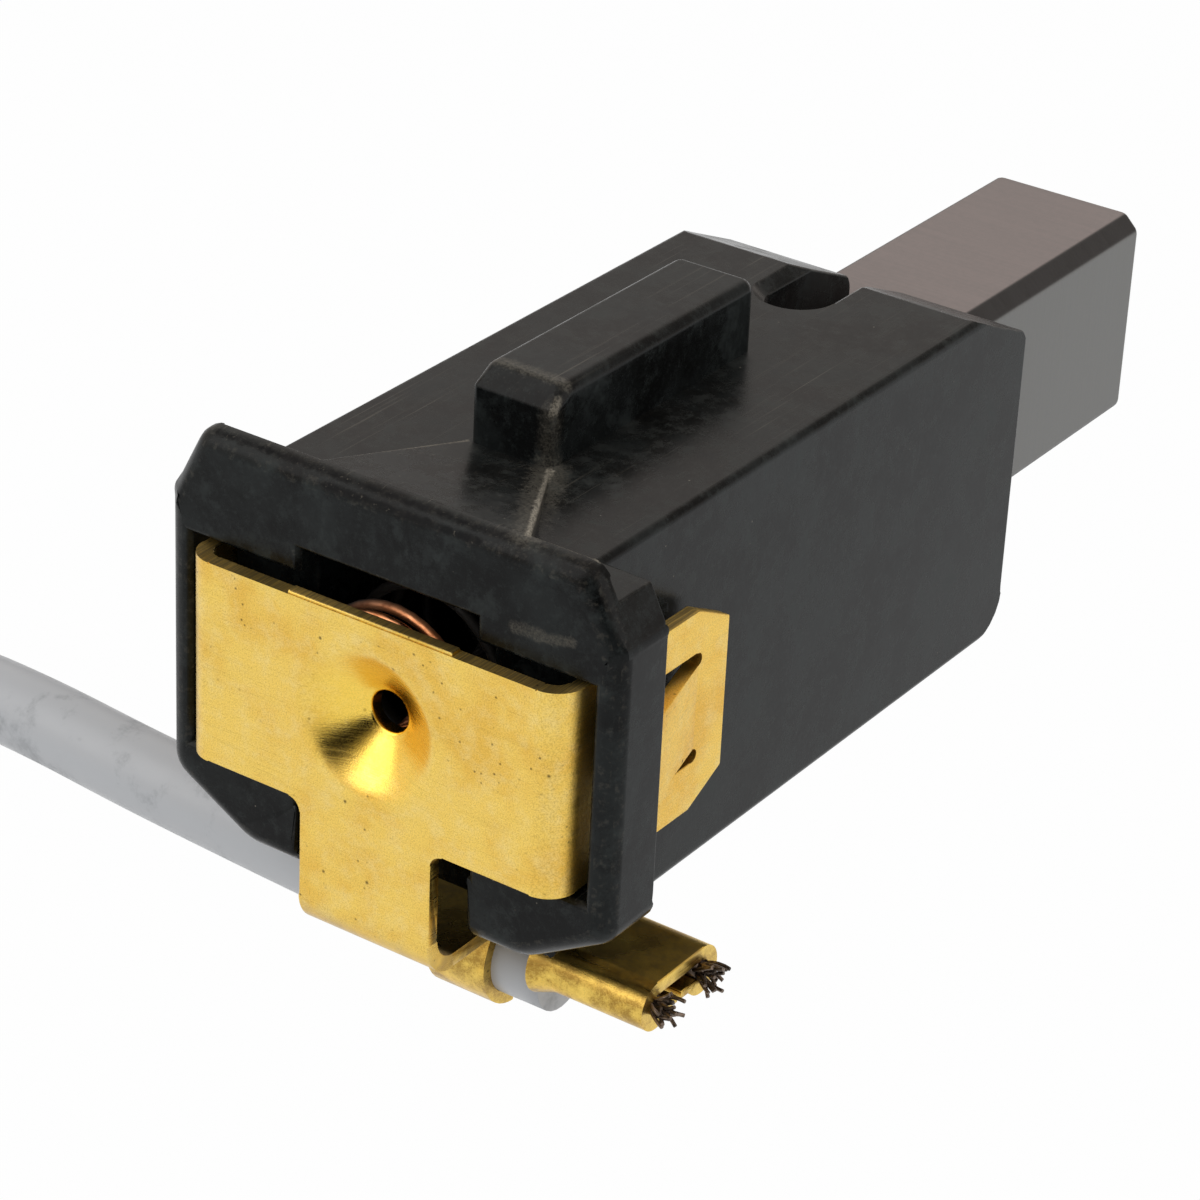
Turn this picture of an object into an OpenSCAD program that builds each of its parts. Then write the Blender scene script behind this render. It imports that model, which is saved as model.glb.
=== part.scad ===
// Cartridge carbon brush for a small commutator motor.
// A sprung carbon block slides in a moulded holder. A folded brass cap closes the flanged end,
// snaps behind the flange with two lanced barbs and is crimped to an insulated lead.
// Millimetres. The origin lies on the brush axis, in the plane of the flange's seating face.
// +Y runs towards the commutator and +Z points away from the lead.

/* [Carbon brush] */
// Width of the carbon block
brush_w = 6.3; // [5.8:0.1:7.2]
// Height of the carbon block
brush_h = 8.0; // [7.6:0.1:9.2]
// Length of the new carbon block
brush_l = 30; // [26:0.5:32]
// Length of carbon that stands out of the holder
brush_out = 13.55; // [11:0.05:15]
// Bevel along the four long edges of the block
brush_bevel = 0.55; // [0.2:0.05:1]
// Bevel round both ends of the block
brush_end_bevel = 0.45; // [0.2:0.05:0.6]
// Clearance between the block and each wall of its channel
brush_gap = 0.1; // [0.05:0.01:0.15]

/* [Holder] */
// Length of the guide body behind the flange's seating face
body_l = 24.85; // [22:0.05:28]
// Side wall of the guide body
side_wall = 2.6; // [2.2:0.1:3.4]
// Upper wall of the guide body
top_wall = 2.3; // [1.9:0.1:3]
// Lower wall of the guide body
floor_wall = 2.35; // [1.9:0.05:3]
// Radius of the guide body's long edges
body_edge_r = 0.3; // [0.1:0.05:0.6]
// Length of the slope at the top of the rear end
top_slope_l = 3.5; // [2:0.1:4.5]
// Drop of the slope at the top of the rear end
top_slope_drop = 1.45; // [0.6:0.05:1.8]
// Length of the rounded chamfer at the bottom of the rear end
heel_l = 1.95; // [1:0.05:3]
// Height of the rounded chamfer at the bottom of the rear end
heel_h = 1.55; // [0.8:0.05:1.9]
// Width of the notch in the upper wall
notch_w = 2.1; // [1.8:0.1:3]
// Length of the notch from the rear end to its round bottom
notch_l = 6.3; // [5:0.1:8]
// Bevel round the notch's upper rim
notch_rim = 0.4; // [0.2:0.05:0.6]

/* [Flange] */
// Thickness of the flange
flange_t = 2.4; // [2.1:0.1:3]
// Height of the thin lip above the guide body
lip_h = 1.05; // [0.7:0.05:1.4]
// Thickness of the lip
lip_t = 0.8; // [0.6:0.1:1.2]
// Depth of the flange's feet below the cap's recess
foot_h = 2.9; // [2.5:0.1:3.1]
// Width of the rim outside each arm slot
rim_w = 0.9; // [0.7:0.05:1.2]
// Width of the upper corner chamfers
top_corner_w = 1.2; // [0.9:0.1:1.9]
// Height of the upper corner chamfers
top_corner_h = 2.4; // [1.6:0.1:3]
// Width of the lower corner chamfers
low_corner_w = 3.05; // [2:0.05:3.3]
// Height of the lower corner chamfers
low_corner_h = 1.75; // [1.4:0.05:2.5]
// Radius that blends the flange's corners
corner_r = 0.8; // [0.4:0.1:1]
// Bevel round the flange's front face
flange_bevel = 0.4; // [0.2:0.05:0.5]
// Depth of the recess behind the cap
recess_d = 1.0; // [0.7:0.1:1.4]
// Height of the finger notch above the channel
finger_h = 0.55; // [0.3:0.05:0.8]

/* [Key rib] */
// Width of the key rib
rib_w = 3.05; // [2.2:0.05:3.6]
// Length of the key rib
rib_l = 11.15; // [8:0.05:12]
// Height of the key rib above the body
rib_h = 2.45; // [1.6:0.05:3]
// Distance from the seating face to the rib
rib_y = 3.8; // [3:0.1:5]
// Offset of the rib's middle to the left of the brush axis
rib_shift = 0.2; // [0:0.05:0.4]
// Edge radius of the rib
rib_r = 0.45; // [0.2:0.05:0.7]
// Length of the slope at the top of the rib's near end
rib_nose_l = 0.85; // [0.3:0.05:1.5]
// Drop of the slope at the top of the rib's near end
rib_nose_h = 0.5; // [0.2:0.05:0.9]
// Distance by which the near end leans back from its foot to the slope
rib_lean = 0.15; // [0:0.05:0.4]
// Distance from the middle to the ramp's near corner on the lip
ramp_left = 3.05; // [2.2:0.05:4]
// Distance from the middle to the ramp's far corner on the lip
ramp_right = 4.6; // [3:0.05:5]

/* [Terminal cap] */
// Thickness of the brass sheet
sheet = 0.5; // [0.4:0.05:0.6]
// Height of the cap plate and its arms
plate_h = 6.85; // [6.4:0.05:7.2]
// Height of the plate's centre above the brush axis
plate_z = 0.225; // [0.1:0.025:0.35]
// Inside radius of the sheet's bends
bend_r = 0.5; // [0.4:0.05:0.65]
// Gap between the flange's front face and the plate
cap_stand = 0.3; // [0.15:0.05:0.5]
// Gap between each arm and the guide body
arm_gap = 0.65; // [0.55:0.05:0.9]
// Clearance outside each arm in its slot
slot_gap = 0.4; // [0.25:0.05:0.5]
// Clearance above and below the plate in its recess
recess_gap = 0.2; // [0.1:0.05:0.3]
// Length of each arm behind the seating face
arm_l = 5.35; // [4.8:0.05:6]
// Length of the chamfers at each arm's end
arm_corner_l = 1.7; // [1:0.1:2]
// Height of the chamfers at each arm's end
arm_corner_h = 0.85; // [0.5:0.05:1.2]
// Distance from the seating face to the root of each barb
barb_l = 3.7; // [3.2:0.05:4.2]
// Width of each barb
barb_w = 2.85; // [2.4:0.05:3.2]
// Height of the barb's middle above the plate's centre
barb_rise = 0.1; // [0:0.05:0.2]
// Angle at which each barb stands out
barb_angle = 15; // [10:1:20]
// Width of the slits beside each barb
slit_w = 0.45; // [0.3:0.05:0.5]
// Radius of the dimple in the plate
dimple_r = 2.75; // [2.2:0.05:2.85]
// Depth of the dimple
dimple_d = 1.15; // [0.7:0.05:1.3]
// Radius of the hole in the dimple
dimple_hole_r = 0.675; // [0.5:0.025:0.8]
// Height of the sheared step on the plate's upper edge
sheared_h = 0.1; // [0.05:0.05:0.15]

/* [Tongue and crimps] */
// Width of the tongue
tongue_w = 4.9; // [4.2:0.1:5.2]
// Clearance on each side of the tongue between the feet
tongue_gap = 0.75; // [0.5:0.05:0.9]
// Gap between the guide body and the strip below it
strip_gap = 0.9; // [0.7:0.05:1.3]
// Inside radius of the tongue's lower bend
tongue_r = 0.85; // [0.5:0.05:0.9]
// Distance from the seating face to the lead's axis
crimp_y = 1.9; // [1.7:0.05:2.3]
// Length of the insulation crimp
wrap_l = 2.2; // [1.9:0.1:3]
// Length of the bare neck between the two crimps
neck_l = 1.9; // [1.4:0.1:2.4]
// Width of the neck
neck_w = 2.0; // [1.6:0.1:2.4]
// Length of the conductor crimp
core_crimp_l = 4.1; // [3.2:0.1:5]
// Width of the conductor crimp
core_crimp_w = 4.1; // [3.4:0.05:4.4]
// Height of the conductor crimp
core_crimp_h = 1.65; // [1.4:0.05:1.9]
// Height by which the conductor crimp's mouth flares
mouth_flare = 0.25; // [0.1:0.05:0.35]

/* [Spring and shunt] */
// Diameter of the spring's wire
spring_wire = 0.35; // [0.25:0.05:0.45]
// Clearance between the spring and the channel's sides
spring_gap = 0.1; // [0.1:0.05:0.3]
// Height of the spring's axis above the plate's centre
spring_rise = 0.3; // [0.1:0.05:0.35]
// Number of turns of the spring
spring_turns = 8; // [6:1:10]
// Diameter of the shunt braid
shunt_d = 1.0; // [0.7:0.1:1.3]
// Sideways bow of the shunt braid
shunt_bow = 0.5; // [0.2:0.1:0.8]

/* [Lead and receptacle] */
// Outside diameter of the lead's insulation
lead_d = 2.8; // [2.4:0.1:3]
// Diameter of the stranded copper core
core_d = 1.3; // [1:0.1:1.4]
// Gap between the insulation's end and the conductor crimp
insulation_gap = 0.15; // [0.1:0.05:0.6]
// Length of bare strands beyond the conductor crimp
strand_out = 1.1; // [0.6:0.1:2]
// Width of the flat tab that the receptacle takes
tab_w = 6.3; // [4.8:0.1:6.5]
// Thickness of the flat tab that the receptacle takes
tab_t = 0.8; // [0.5:0.05:0.9]
// Thickness of the receptacle's sheet
socket_sheet = 0.4; // [0.3:0.05:0.5]
// Length of the receptacle's socket
socket_l = 8; // [6.5:0.1:9]
// Clearance beside the tab in the socket
socket_gap = 0.15; // [0.1:0.05:0.25]

/* [Hidden] */

// Faces on a full turn of a small round form
round_fn = 32;
// Overlap that lets cuts run clear of a face
cut = 1;
// Clearance between a crimp and the strands that it grips
grip_gap = 0.02;
// Gap between a barb's free end and the flange
barb_gap = 0.03;

// Channel and guide body
channel_w = brush_w + 2 * brush_gap;
channel_h = brush_h + 2 * brush_gap;
body_w = channel_w + 2 * side_wall;
body_top = channel_h / 2 + top_wall;
body_low = -channel_h / 2 - floor_wall;

// Cap arms, recess and flange
arm_in = body_w / 2 + arm_gap;
arm_out = arm_in + sheet;
slot_in = arm_in - 0.1;
slot_out = arm_out + slot_gap;
flange_x = slot_out + rim_w;
flange_top = body_top + lip_h;
plate_low = plate_z - plate_h / 2;
plate_top = plate_z + plate_h / 2;
recess_low = plate_low - recess_gap;
recess_top = plate_top + recess_gap;
flange_low = recess_low - foot_h;
finger_top = channel_h / 2 + finger_h;
foot_x = tongue_w / 2 + tongue_gap;
plate_back = -flange_t - cap_stand;
plate_front = plate_back - sheet;
barb_z = plate_z + barb_rise;

// Strip, crimps and lead
strip_top = body_low - strip_gap;
strip_low = strip_top - sheet;
lead_z = strip_low - lead_d / 2;
wrap_wall = 0.4;
core_crimp_x = wrap_l + neck_l;
core_crimp_end = core_crimp_x + core_crimp_l;
core_z = strip_low - (core_crimp_h - 2 * sheet) / 2;
lobe_y = core_crimp_w / 2 - sheet - (core_crimp_h - 2 * sheet) / 2;
insulation_end = core_crimp_x - insulation_gap;

// Brush, spring and shunt places
brush_tip = body_l + brush_out;
brush_root = brush_tip - brush_l;
spring_r = channel_w / 2 - spring_gap - spring_wire / 2;
dimple_tip = plate_back + dimple_d;

// Route of the lead's axis beyond the insulation crimp, as offsets from the crimp's mouth
ROUTE = [[-4, 0.35, -0.05], [-9, 0.8, -0.2], [-14, 1.2, -0.25], [-19, 1.65, -0.25], [-23, 2, -0.5],
         [-27, 2.3, -1.3], [-31, 2.6, -3.2], [-34.5, 2.9, -6], [-37.2, 3.1, -9.5],
         [-38.9, 3.2, -13.6], [-39.7, 3.3, -18], [-40, 3.3, -23], [-40, 3.3, -29],
         [-40, 3.3, -36], [-40, 3.3, -43], [-40, 3.3, -50], [-40, 3.3, -57], [-40, 3.3, -64]];
route_end = ROUTE[len(ROUTE) - 1];
lead_start = [insulation_end, crimp_y, lead_z];
lead_mouth = [0, crimp_y, lead_z];
lead_path = concat([lead_start, lead_mouth + [0.8, 0, 0]], [for (p = ROUTE) lead_mouth + p]);
lead_end = lead_mouth + route_end;

// Receptacle's heights, measured from the end of the lead's insulation
far_wrap = 3;
far_core_l = 3.4;
far_neck_l = 2;
far_core_top = -1.2;
far_core_low = far_core_top - far_core_l;
socket_top = far_core_low - far_neck_l;
far_strand_low = far_core_low - 0.7;
strap_x = 0.9;

// ---------- helpers ----------

// Extrudes an outline drawn in X and Z from y0 to y1.
module along_y(y0, y1) {
    translate([0, y1, 0])
        rotate([90, 0, 0])
            linear_extrude(y1 - y0)
                children();
}

// Extrudes an outline drawn in Y and Z from x0 to x1.
module along_x(x0, x1) {
    translate([x0, 0, 0])
        rotate([90, 0, 90])
            linear_extrude(x1 - x0)
                children();
}

// Makes a box from its lowest to its highest corner.
module box(low, high) {
    translate(low)
        cube(high - low);
}

// Points of an arc about a centre, from angle a0 to a1.
function arc(centre, r, a0, a1, steps) =
    [for (i = [0:steps]) let (a = a0 + (a1 - a0) * i / steps) centre + r * [cos(a), sin(a)]];

// Points of a quarter of an ellipse about a centre, from angle a0 to a1.
function oval(centre, rx, ry, a0, a1, steps) =
    [for (i = [0:steps]) let (a = a0 + (a1 - a0) * i / steps) centre + [rx * cos(a), ry * sin(a)]];

// A rectangle with round corners, given by its low and high corners.
function round_rect(low, high, r) = concat(
    arc([high[0] - r, high[1] - r], r, 0, 90, 5),
    arc([low[0] + r, high[1] - r], r, 90, 180, 5),
    arc([low[0] + r, low[1] + r], r, 180, 270, 5),
    arc([high[0] - r, low[1] + r], r, 270, 360, 5));

function unit(v) = v / norm(v);

// Points of a round corner of radius r at point p, between the sides towards points a and b.
function fillet(a, p, b, r) =
    let (steps = 4, u = unit(a - p), v = unit(b - p), half = acos(u * v) / 2,
         centre = p + unit(u + v) * r / sin(half),
         first = p + u * r / tan(half) - centre, last = p + v * r / tan(half) - centre)
    [for (i = [0:steps]) centre + r * unit(first * (steps - i) + last * i)];

// Direction of a path at one of its points.
function path_dir(path, i) =
    unit(path[min(i + 1, len(path) - 1)] - path[max(i - 1, 0)]);

// Ring of points round a path's point, square to the path. side is never parallel to the path.
function ring(path, i, r, sides, side) =
    let (d = path_dir(path, i), u = unit(cross(side, d)), v = cross(d, u))
    [for (k = [0:sides - 1]) path[i] + r * (cos(360 * k / sides) * u + sin(360 * k / sides) * v)];

// One closed tube swept along a path.
module tube(path, r, sides, side) {
    n = len(path);
    points = [for (i = [0:n - 1]) each ring(path, i, r, sides, side)];
    walls = [for (i = [0:n - 2], k = [0:sides - 1])
        [(i + 1) * sides + k, (i + 1) * sides + (k + 1) % sides,
         i * sides + (k + 1) % sides, i * sides + k]];
    start = [for (k = [0:sides - 1]) k];
    end = [for (k = [sides - 1:-1:0]) (n - 1) * sides + k];
    polyhedron(points, concat([start], [end], walls));
}

// ---------- holder ----------

// Side view of the guide body, with the slope and the rounded heel at its rear end.
module body_side() {
    slope_r = 0.4;
    polygon(concat(
        [[-flange_t + recess_d, body_low]],
        oval([body_l - heel_l, body_low + heel_h], heel_l, heel_h, -90, 0, 6),
        [[body_l, body_top - top_slope_drop - slope_r],
         [body_l - slope_r / 2, body_top - top_slope_drop],
         [body_l - top_slope_l, body_top],
         [-flange_t + recess_d, body_top]]));
}

// End view of the guide body with its rounded long edges.
module body_end() {
    polygon(round_rect([-body_w / 2, body_low], [body_w / 2, body_top], body_edge_r));
}

// Front view of the flange, inset by a margin, with blended corners.
module flange_outline(inset) {
    x = flange_x - inset;
    top = flange_top - inset;
    low = flange_low + inset;
    k = inset / 2;
    top_in = [x - top_corner_w + k, top];
    top_out = [x, top - top_corner_h + k];
    low_out = [x, low + low_corner_h - k];
    low_in = [x - low_corner_w + k, low];
    right = concat(fillet([0, top], top_in, top_out, corner_r),
                   fillet(top_in, top_out, low_out, corner_r),
                   fillet(top_out, low_out, low_in, corner_r),
                   fillet(low_out, low_in, [0, low], 2 * corner_r));
    left = [for (i = [len(right) - 1:-1:0]) [-right[i][0], right[i][1]]];
    polygon(concat(right, left));
}

module flange() {
    along_y(-flange_t + flange_bevel, 0)
        flange_outline(0);
    hull() {
        along_y(-flange_t + flange_bevel, -flange_t + flange_bevel + 0.01)
            flange_outline(0);
        along_y(-flange_t, -flange_t + 0.01)
            flange_outline(flange_bevel);
    }
}

// Rib that keys the holder in its seat, with rounded edges and a sloped near end.
module key_rib() {
    nose_r = rib_r / 2;
    top = body_top + rib_h;
    far = rib_y + rib_l - rib_r;
    shoulder = [rib_y + rib_lean + nose_r, top - rib_nose_h - nose_r];
    crest = [rib_y + rib_lean + rib_nose_l, top - rib_r];
    translate([-rib_shift, 0, 0])
        hull()
            for (side = [-1, 1]) {
                for (y = [rib_y + rib_r, far])
                    translate([side * (rib_w / 2 - rib_r), y, body_top - 0.5])
                        cylinder(h = 0.5, r = rib_r, $fn = 24);
                translate([side * (rib_w / 2 - nose_r), shoulder[0], shoulder[1]])
                    sphere(r = nose_r, $fn = 24);
                for (y = [crest[0], far])
                    translate([side * (rib_w / 2 - rib_r), y, crest[1]])
                        sphere(r = rib_r, $fn = 24);
            }
}

// Ramp that falls from the lip to the foot of the rib.
module ramp() {
    near = -flange_t + lip_t;
    foot = rib_y + rib_r;
    right = rib_w / 2 - rib_shift - rib_r / 2;
    left = -rib_w / 2 - rib_shift;
    intersection() {
        translate([0, 0, body_top - 0.3])
            linear_extrude(lip_h + 0.3)
                polygon([[-ramp_left, near - 0.2], [ramp_right, near - 0.2],
                         [right, foot], [left, foot]]);
        along_x(-ramp_left - cut, ramp_right + cut)
            polygon([[near - 0.2, body_top - 0.3], [foot, body_top - 0.3], [foot, body_top],
                     [rib_y, body_top], [near, flange_top], [near - 0.2, flange_top]]);
    }
}

// Space for the cap: recess, arm slots, finger notch and the slot between the feet.
module cap_space() {
    front = -flange_t - cut;
    box([-slot_out, front, recess_low], [slot_out, -flange_t + recess_d, recess_top]);
    for (side = [-1, 1])
        box([side > 0 ? slot_in : -slot_out, front, recess_low],
            [side > 0 ? slot_out : -slot_in, cut, recess_top]);
    box([-channel_w / 2, front, 0], [channel_w / 2, 0, finger_top]);
    box([-foot_x, front, flange_low - cut], [foot_x, 0, 0]);
}

// Notch through the upper wall, open at the rear end, with a bevelled rim.
module rear_notch() {
    y = body_l - notch_l + notch_w / 2;
    low = body_top - notch_rim;
    high = body_top + cut;
    wide = notch_w / 2 + notch_rim + cut;
    translate([0, y, 0])
        cylinder(h = high, d = notch_w, $fn = round_fn);
    box([-notch_w / 2, y, 0], [notch_w / 2, body_l + cut, high]);
    translate([0, y, low])
        cylinder(h = high - low, r1 = notch_w / 2, r2 = wide, $fn = round_fn);
    along_y(y, body_l + cut)
        polygon([[-notch_w / 2, low], [notch_w / 2, low], [wide, high], [-wide, high]]);
}

module holder() {
    color([0.13, 0.13, 0.14])
        difference() {
            union() {
                intersection() {
                    along_x(-body_w / 2 - cut, body_w / 2 + cut)
                        body_side();
                    along_y(-flange_t, body_l + cut)
                        body_end();
                }
                difference() {
                    flange();
                    box([-flange_x - cut, -flange_t + lip_t, body_top],
                        [flange_x + cut, cut, flange_top + cut]);
                }
                key_rib();
                ramp();
            }
            box([-channel_w / 2, -flange_t, -channel_h / 2],
                [channel_w / 2, body_l + cut, channel_h / 2]);
            cap_space();
            rear_notch();
        }
}

// ---------- terminal cap ----------

// Plan of the plate, its two bends and its arms.
module cap_plan() {
    r = bend_r + sheet;
    for (side = [0, 1])
        mirror([side, 0]) {
            translate([0, plate_front])
                square([arm_out - r, sheet]);
            translate([arm_in, plate_front + r])
                square([sheet, arm_l - plate_front - r]);
            translate([arm_out - r, plate_front + r])
                intersection() {
                    difference() {
                        circle(r = r, $fn = 48);
                        circle(r = bend_r, $fn = 48);
                    }
                    translate([0, -r])
                        square(r);
                }
        }
}

// Side view of the arms, with the chamfers at their ends.
module arm_side() {
    polygon([[plate_front - cut, plate_low], [arm_l - arm_corner_l, plate_low],
             [arm_l, plate_low + arm_corner_h], [arm_l, plate_top - arm_corner_h],
             [arm_l - arm_corner_l, plate_top], [plate_front - cut, plate_top]]);
}

// Window that frees one barb from its arm, with round slit ends.
module barb_window() {
    low = barb_z - barb_w / 2 - slit_w;
    high = barb_z + barb_w / 2 + slit_w;
    start = -flange_t / 2;
    box([arm_in - cut, start, low], [arm_out + cut, barb_l, high]);
    for (z = [low + slit_w / 2, high - slit_w / 2])
        translate([arm_in - cut, barb_l, z])
            rotate([0, 90, 0])
                cylinder(h = sheet + 2 * cut, d = slit_w, $fn = 16);
}

// Barb that leans out of the arm and bears on the flange's seating face.
module barb() {
    reach = (barb_l - barb_gap - sheet / 2 * sin(barb_angle)) / cos(barb_angle);
    translate([arm_in + sheet / 2, barb_l, barb_z])
        rotate([0, 0, barb_angle])
            box([-sheet / 2, -reach, -barb_w / 2], [sheet / 2, 0.12, barb_w / 2]);
    box([arm_in, barb_l - 0.1, barb_z - barb_w / 2], [arm_out, barb_l + 0.2, barb_z + barb_w / 2]);
}

// Funnel pressed into the plate, with its hole. Its back stays flat under the spring's end.
module dimple() {
    wall = sheet * 0.9;
    hole = dimple_hole_r;
    d = dimple_d;
    seat = min(dimple_r, spring_r - spring_wire / 2 - spring_rise - 0.05);
    translate([0, plate_front, plate_z])
        rotate([-90, 0, 0])
            rotate_extrude($fn = 64)
                polygon([[hole, d], [hole + 0.13, d * 0.93], [hole + 0.33, d * 0.8],
                         [dimple_r * 0.55, d * 0.52], [dimple_r * 0.73, d * 0.24],
                         [dimple_r * 0.9, d * 0.05], [dimple_r + 0.1, 0],
                         [dimple_r + 0.1, sheet], [seat, sheet],
                         [seat * 0.88, sheet + d * 0.08], [dimple_r * 0.55, sheet + d * 0.52],
                         [hole + 0.35, d * 0.8 + wall], [hole + 0.1, d + wall], [hole, d + wall]]);
}

// Step that the shears left along the middle of the plate's upper edge.
module sheared_edge() {
    x = channel_w / 2 - 0.25;
    inset = sheet / 10;
    box([-x, plate_front + inset, plate_top - cut / 10],
        [x, plate_back - inset, plate_top + sheared_h]);
}

// Fillet that fills the corner between the plate and the tongue.
module tongue_fillet() {
    r = 0.45;
    translate([tongue_w / 2, plate_low])
        difference() {
            translate([-0.1, -r])
                square([r + 0.1, r + 0.1]);
            translate([r, -r])
                circle(r = r, $fn = round_fn);
        }
}

// Tongue below the plate, its bend and the flat strip with the crimps' neck.
module tongue() {
    bend_y = plate_back + tongue_r;
    bend_z = strip_top + tongue_r;
    along_y(plate_front, plate_back) {
        translate([-tongue_w / 2, bend_z])
            square([tongue_w, plate_low - bend_z + 0.2]);
        tongue_fillet();
        mirror([1, 0])
            tongue_fillet();
    }
    along_x(-tongue_w / 2, tongue_w / 2)
        translate([bend_y, bend_z])
            intersection() {
                difference() {
                    circle(r = tongue_r + sheet, $fn = 48);
                    circle(r = tongue_r, $fn = 48);
                }
                translate([-tongue_r - sheet, -tongue_r - sheet])
                    square(tongue_r + sheet);
            }
    rear = crimp_y + lead_d / 2;
    translate([0, 0, strip_low])
        linear_extrude(sheet)
            polygon([[-tongue_w / 2, bend_y], [tongue_w / 2, bend_y],
                     [tongue_w / 2, crimp_y - neck_w / 2], [core_crimp_x + 0.1, crimp_y - neck_w / 2],
                     [core_crimp_x + 0.1, crimp_y + neck_w / 2], [wrap_l, crimp_y + neck_w / 2],
                     [wrap_l, rear], [0, rear], [-tongue_w / 2, rear - tongue_w / 2]]);
}

// Insulation crimp: a barrel rolled round the lead, open along its lower seam.
module insulation_crimp() {
    outer = lead_d / 2 + wrap_wall;
    along_x(0, wrap_l)
        translate([crimp_y, lead_z])
            difference() {
                union() {
                    circle(r = outer, $fn = 48);
                    translate([-outer * 0.85, 0])
                        square([outer * 1.7, lead_d / 2 + sheet * 0.6]);
                }
                circle(d = lead_d + 2 * grip_gap, $fn = 48);
                translate([-0.15, -outer - cut])
                    square([0.3, outer + cut]);
            }
}

// Outline of the two lobes of the conductor crimp, grown by a margin.
module crimp_lobes(grow) {
    r = (core_crimp_h - 2 * sheet) / 2 + grow;
    for (side = [-1, 1])
        translate([crimp_y + side * lobe_y, core_z])
            circle(r = r, $fn = round_fn);
    translate([crimp_y - lobe_y, core_z - r * 0.6])
        square([2 * lobe_y, r * 1.6]);
}

// Conductor crimp: both wings rolled in from below, with a flared mouth towards the insulation.
module conductor_crimp() {
    difference() {
        union() {
            along_x(core_crimp_x, core_crimp_end)
                crimp_lobes(sheet);
            hull() {
                along_x(core_crimp_x, core_crimp_x + 0.05)
                    crimp_lobes(sheet + mouth_flare);
                along_x(core_crimp_x + 0.7, core_crimp_x + 0.75)
                    crimp_lobes(sheet);
            }
        }
        along_x(core_crimp_x - cut, core_crimp_end + cut)
            crimp_lobes(grip_gap);
        box([core_crimp_x - cut, crimp_y - 0.1, core_z - core_crimp_h],
            [core_crimp_end + cut, crimp_y + 0.1, core_z - 0.1]);
        box([core_crimp_x - cut, -cut, strip_top],
            [core_crimp_end + cut, crimp_y + core_crimp_w, strip_top + cut]);
    }
}

module terminal_cap() {
    color([0.86, 0.68, 0.22]) {
        difference() {
            intersection() {
                translate([0, 0, plate_low])
                    linear_extrude(plate_h)
                        cap_plan();
                along_x(-arm_out - cut, arm_out + cut)
                    arm_side();
            }
            translate([0, plate_front - cut, plate_z])
                rotate([-90, 0, 0])
                    cylinder(h = sheet + 2 * cut, r = dimple_r, $fn = 64);
            for (side = [0, 1])
                mirror([side, 0, 0])
                    barb_window();
        }
        for (side = [0, 1])
            mirror([side, 0, 0])
                barb();
        dimple();
        sheared_edge();
        tongue();
        insulation_crimp();
        conductor_crimp();
    }
}

// ---------- carbon brush ----------

module carbon_brush() {
    x = brush_w / 2;
    z = brush_h / 2;
    b = brush_bevel;
    e = brush_end_bevel;
    shape = [[x - b, z], [x, z - b], [x, b - z], [x - b, -z],
             [b - x, -z], [-x, b - z], [-x, z - b], [b - x, z]];
    color([0.27, 0.26, 0.27])
        hull() {
            along_y(brush_root + e, brush_tip - e)
                polygon(shape);
            along_y(brush_root, brush_tip)
                polygon([for (p = shape) [p[0] * (1 - e / x), p[1] * (1 - e / z)]]);
        }
}

// ---------- spring and shunt ----------

// Point on the coil's centre line; the first and last turn lie nearly flat.
function coil_point(t, length) =
    let (a = 360 * t * spring_turns, f = t * spring_turns,
         flat = spring_wire * 1.05, n = spring_turns - 2,
         rise = length - 2 * flat,
         y = f < 1 ? f * flat
           : f > spring_turns - 1 ? length - (spring_turns - f) * flat
           : flat + rise * (f - 1) / n)
    [spring_r * cos(a), y, plate_z + spring_rise + spring_r * sin(a)];

module spring() {
    start = plate_back + spring_wire / 2;
    length = brush_root - plate_back - spring_wire;
    steps = spring_turns * 20;
    path = [for (i = [0:steps]) coil_point(i / steps, length) + [0, start, 0]];
    color([0.74, 0.42, 0.26])
        tube(path, spring_wire / 2, 8, [0, 1, 0]);
}

module shunt() {
    start = dimple_tip + shunt_d * 0.1;
    side = dimple_hole_r + shunt_d / 2 + 0.15;
    steps = 14;
    tail = [0, 0.2, 0];
    span = brush_root - start - 2 * tail[1];
    bowed = [for (i = [0:steps]) let (t = i / steps)
        [shunt_bow * sin(360 * t) * sin(180 * t), start + tail[1] + span * t,
         plate_z - side * (1 - t) * (1 - t) + shunt_bow * sin(180 * t) * sin(180 * t)]];
    path = concat([bowed[0] - tail], bowed, [bowed[steps] + tail]);
    color([0.72, 0.4, 0.24])
        tube(path, shunt_d / 2, 8, [0, 0, 1]);
}

// ---------- lead ----------

// Bundle of strands: the flattened part that fills the crimp and the loose ends beyond it.
module crimped_strands() {
    thread = 0.36;
    color([0.5, 0.36, 0.28]) {
        along_x(core_crimp_x, core_crimp_end)
            crimp_lobes(0);
        translate([insulation_end, crimp_y, core_z])
            rotate([0, 90, 0])
                cylinder(h = core_crimp_x - insulation_end, r = (core_crimp_h - 2 * sheet) / 2,
                         $fn = round_fn);
        for (i = [0:9])
            translate([core_crimp_end - 0.1, crimp_y - lobe_y + 2 * lobe_y * i / 9,
                       core_z + (i % 2 - 0.5) * 0.2])
                rotate([0, 90 + 6 * sin(140 * i), 7 * sin(97 * i)])
                    cylinder(h = strand_out * (0.75 + 0.25 * sin(200 * i)) + 0.1, d = thread, $fn = 13);
    }
}

module lead_wire() {
    color([0.93, 0.93, 0.94])
        tube(lead_path, lead_d / 2, 8, [0, 1, 0]);
}

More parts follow.
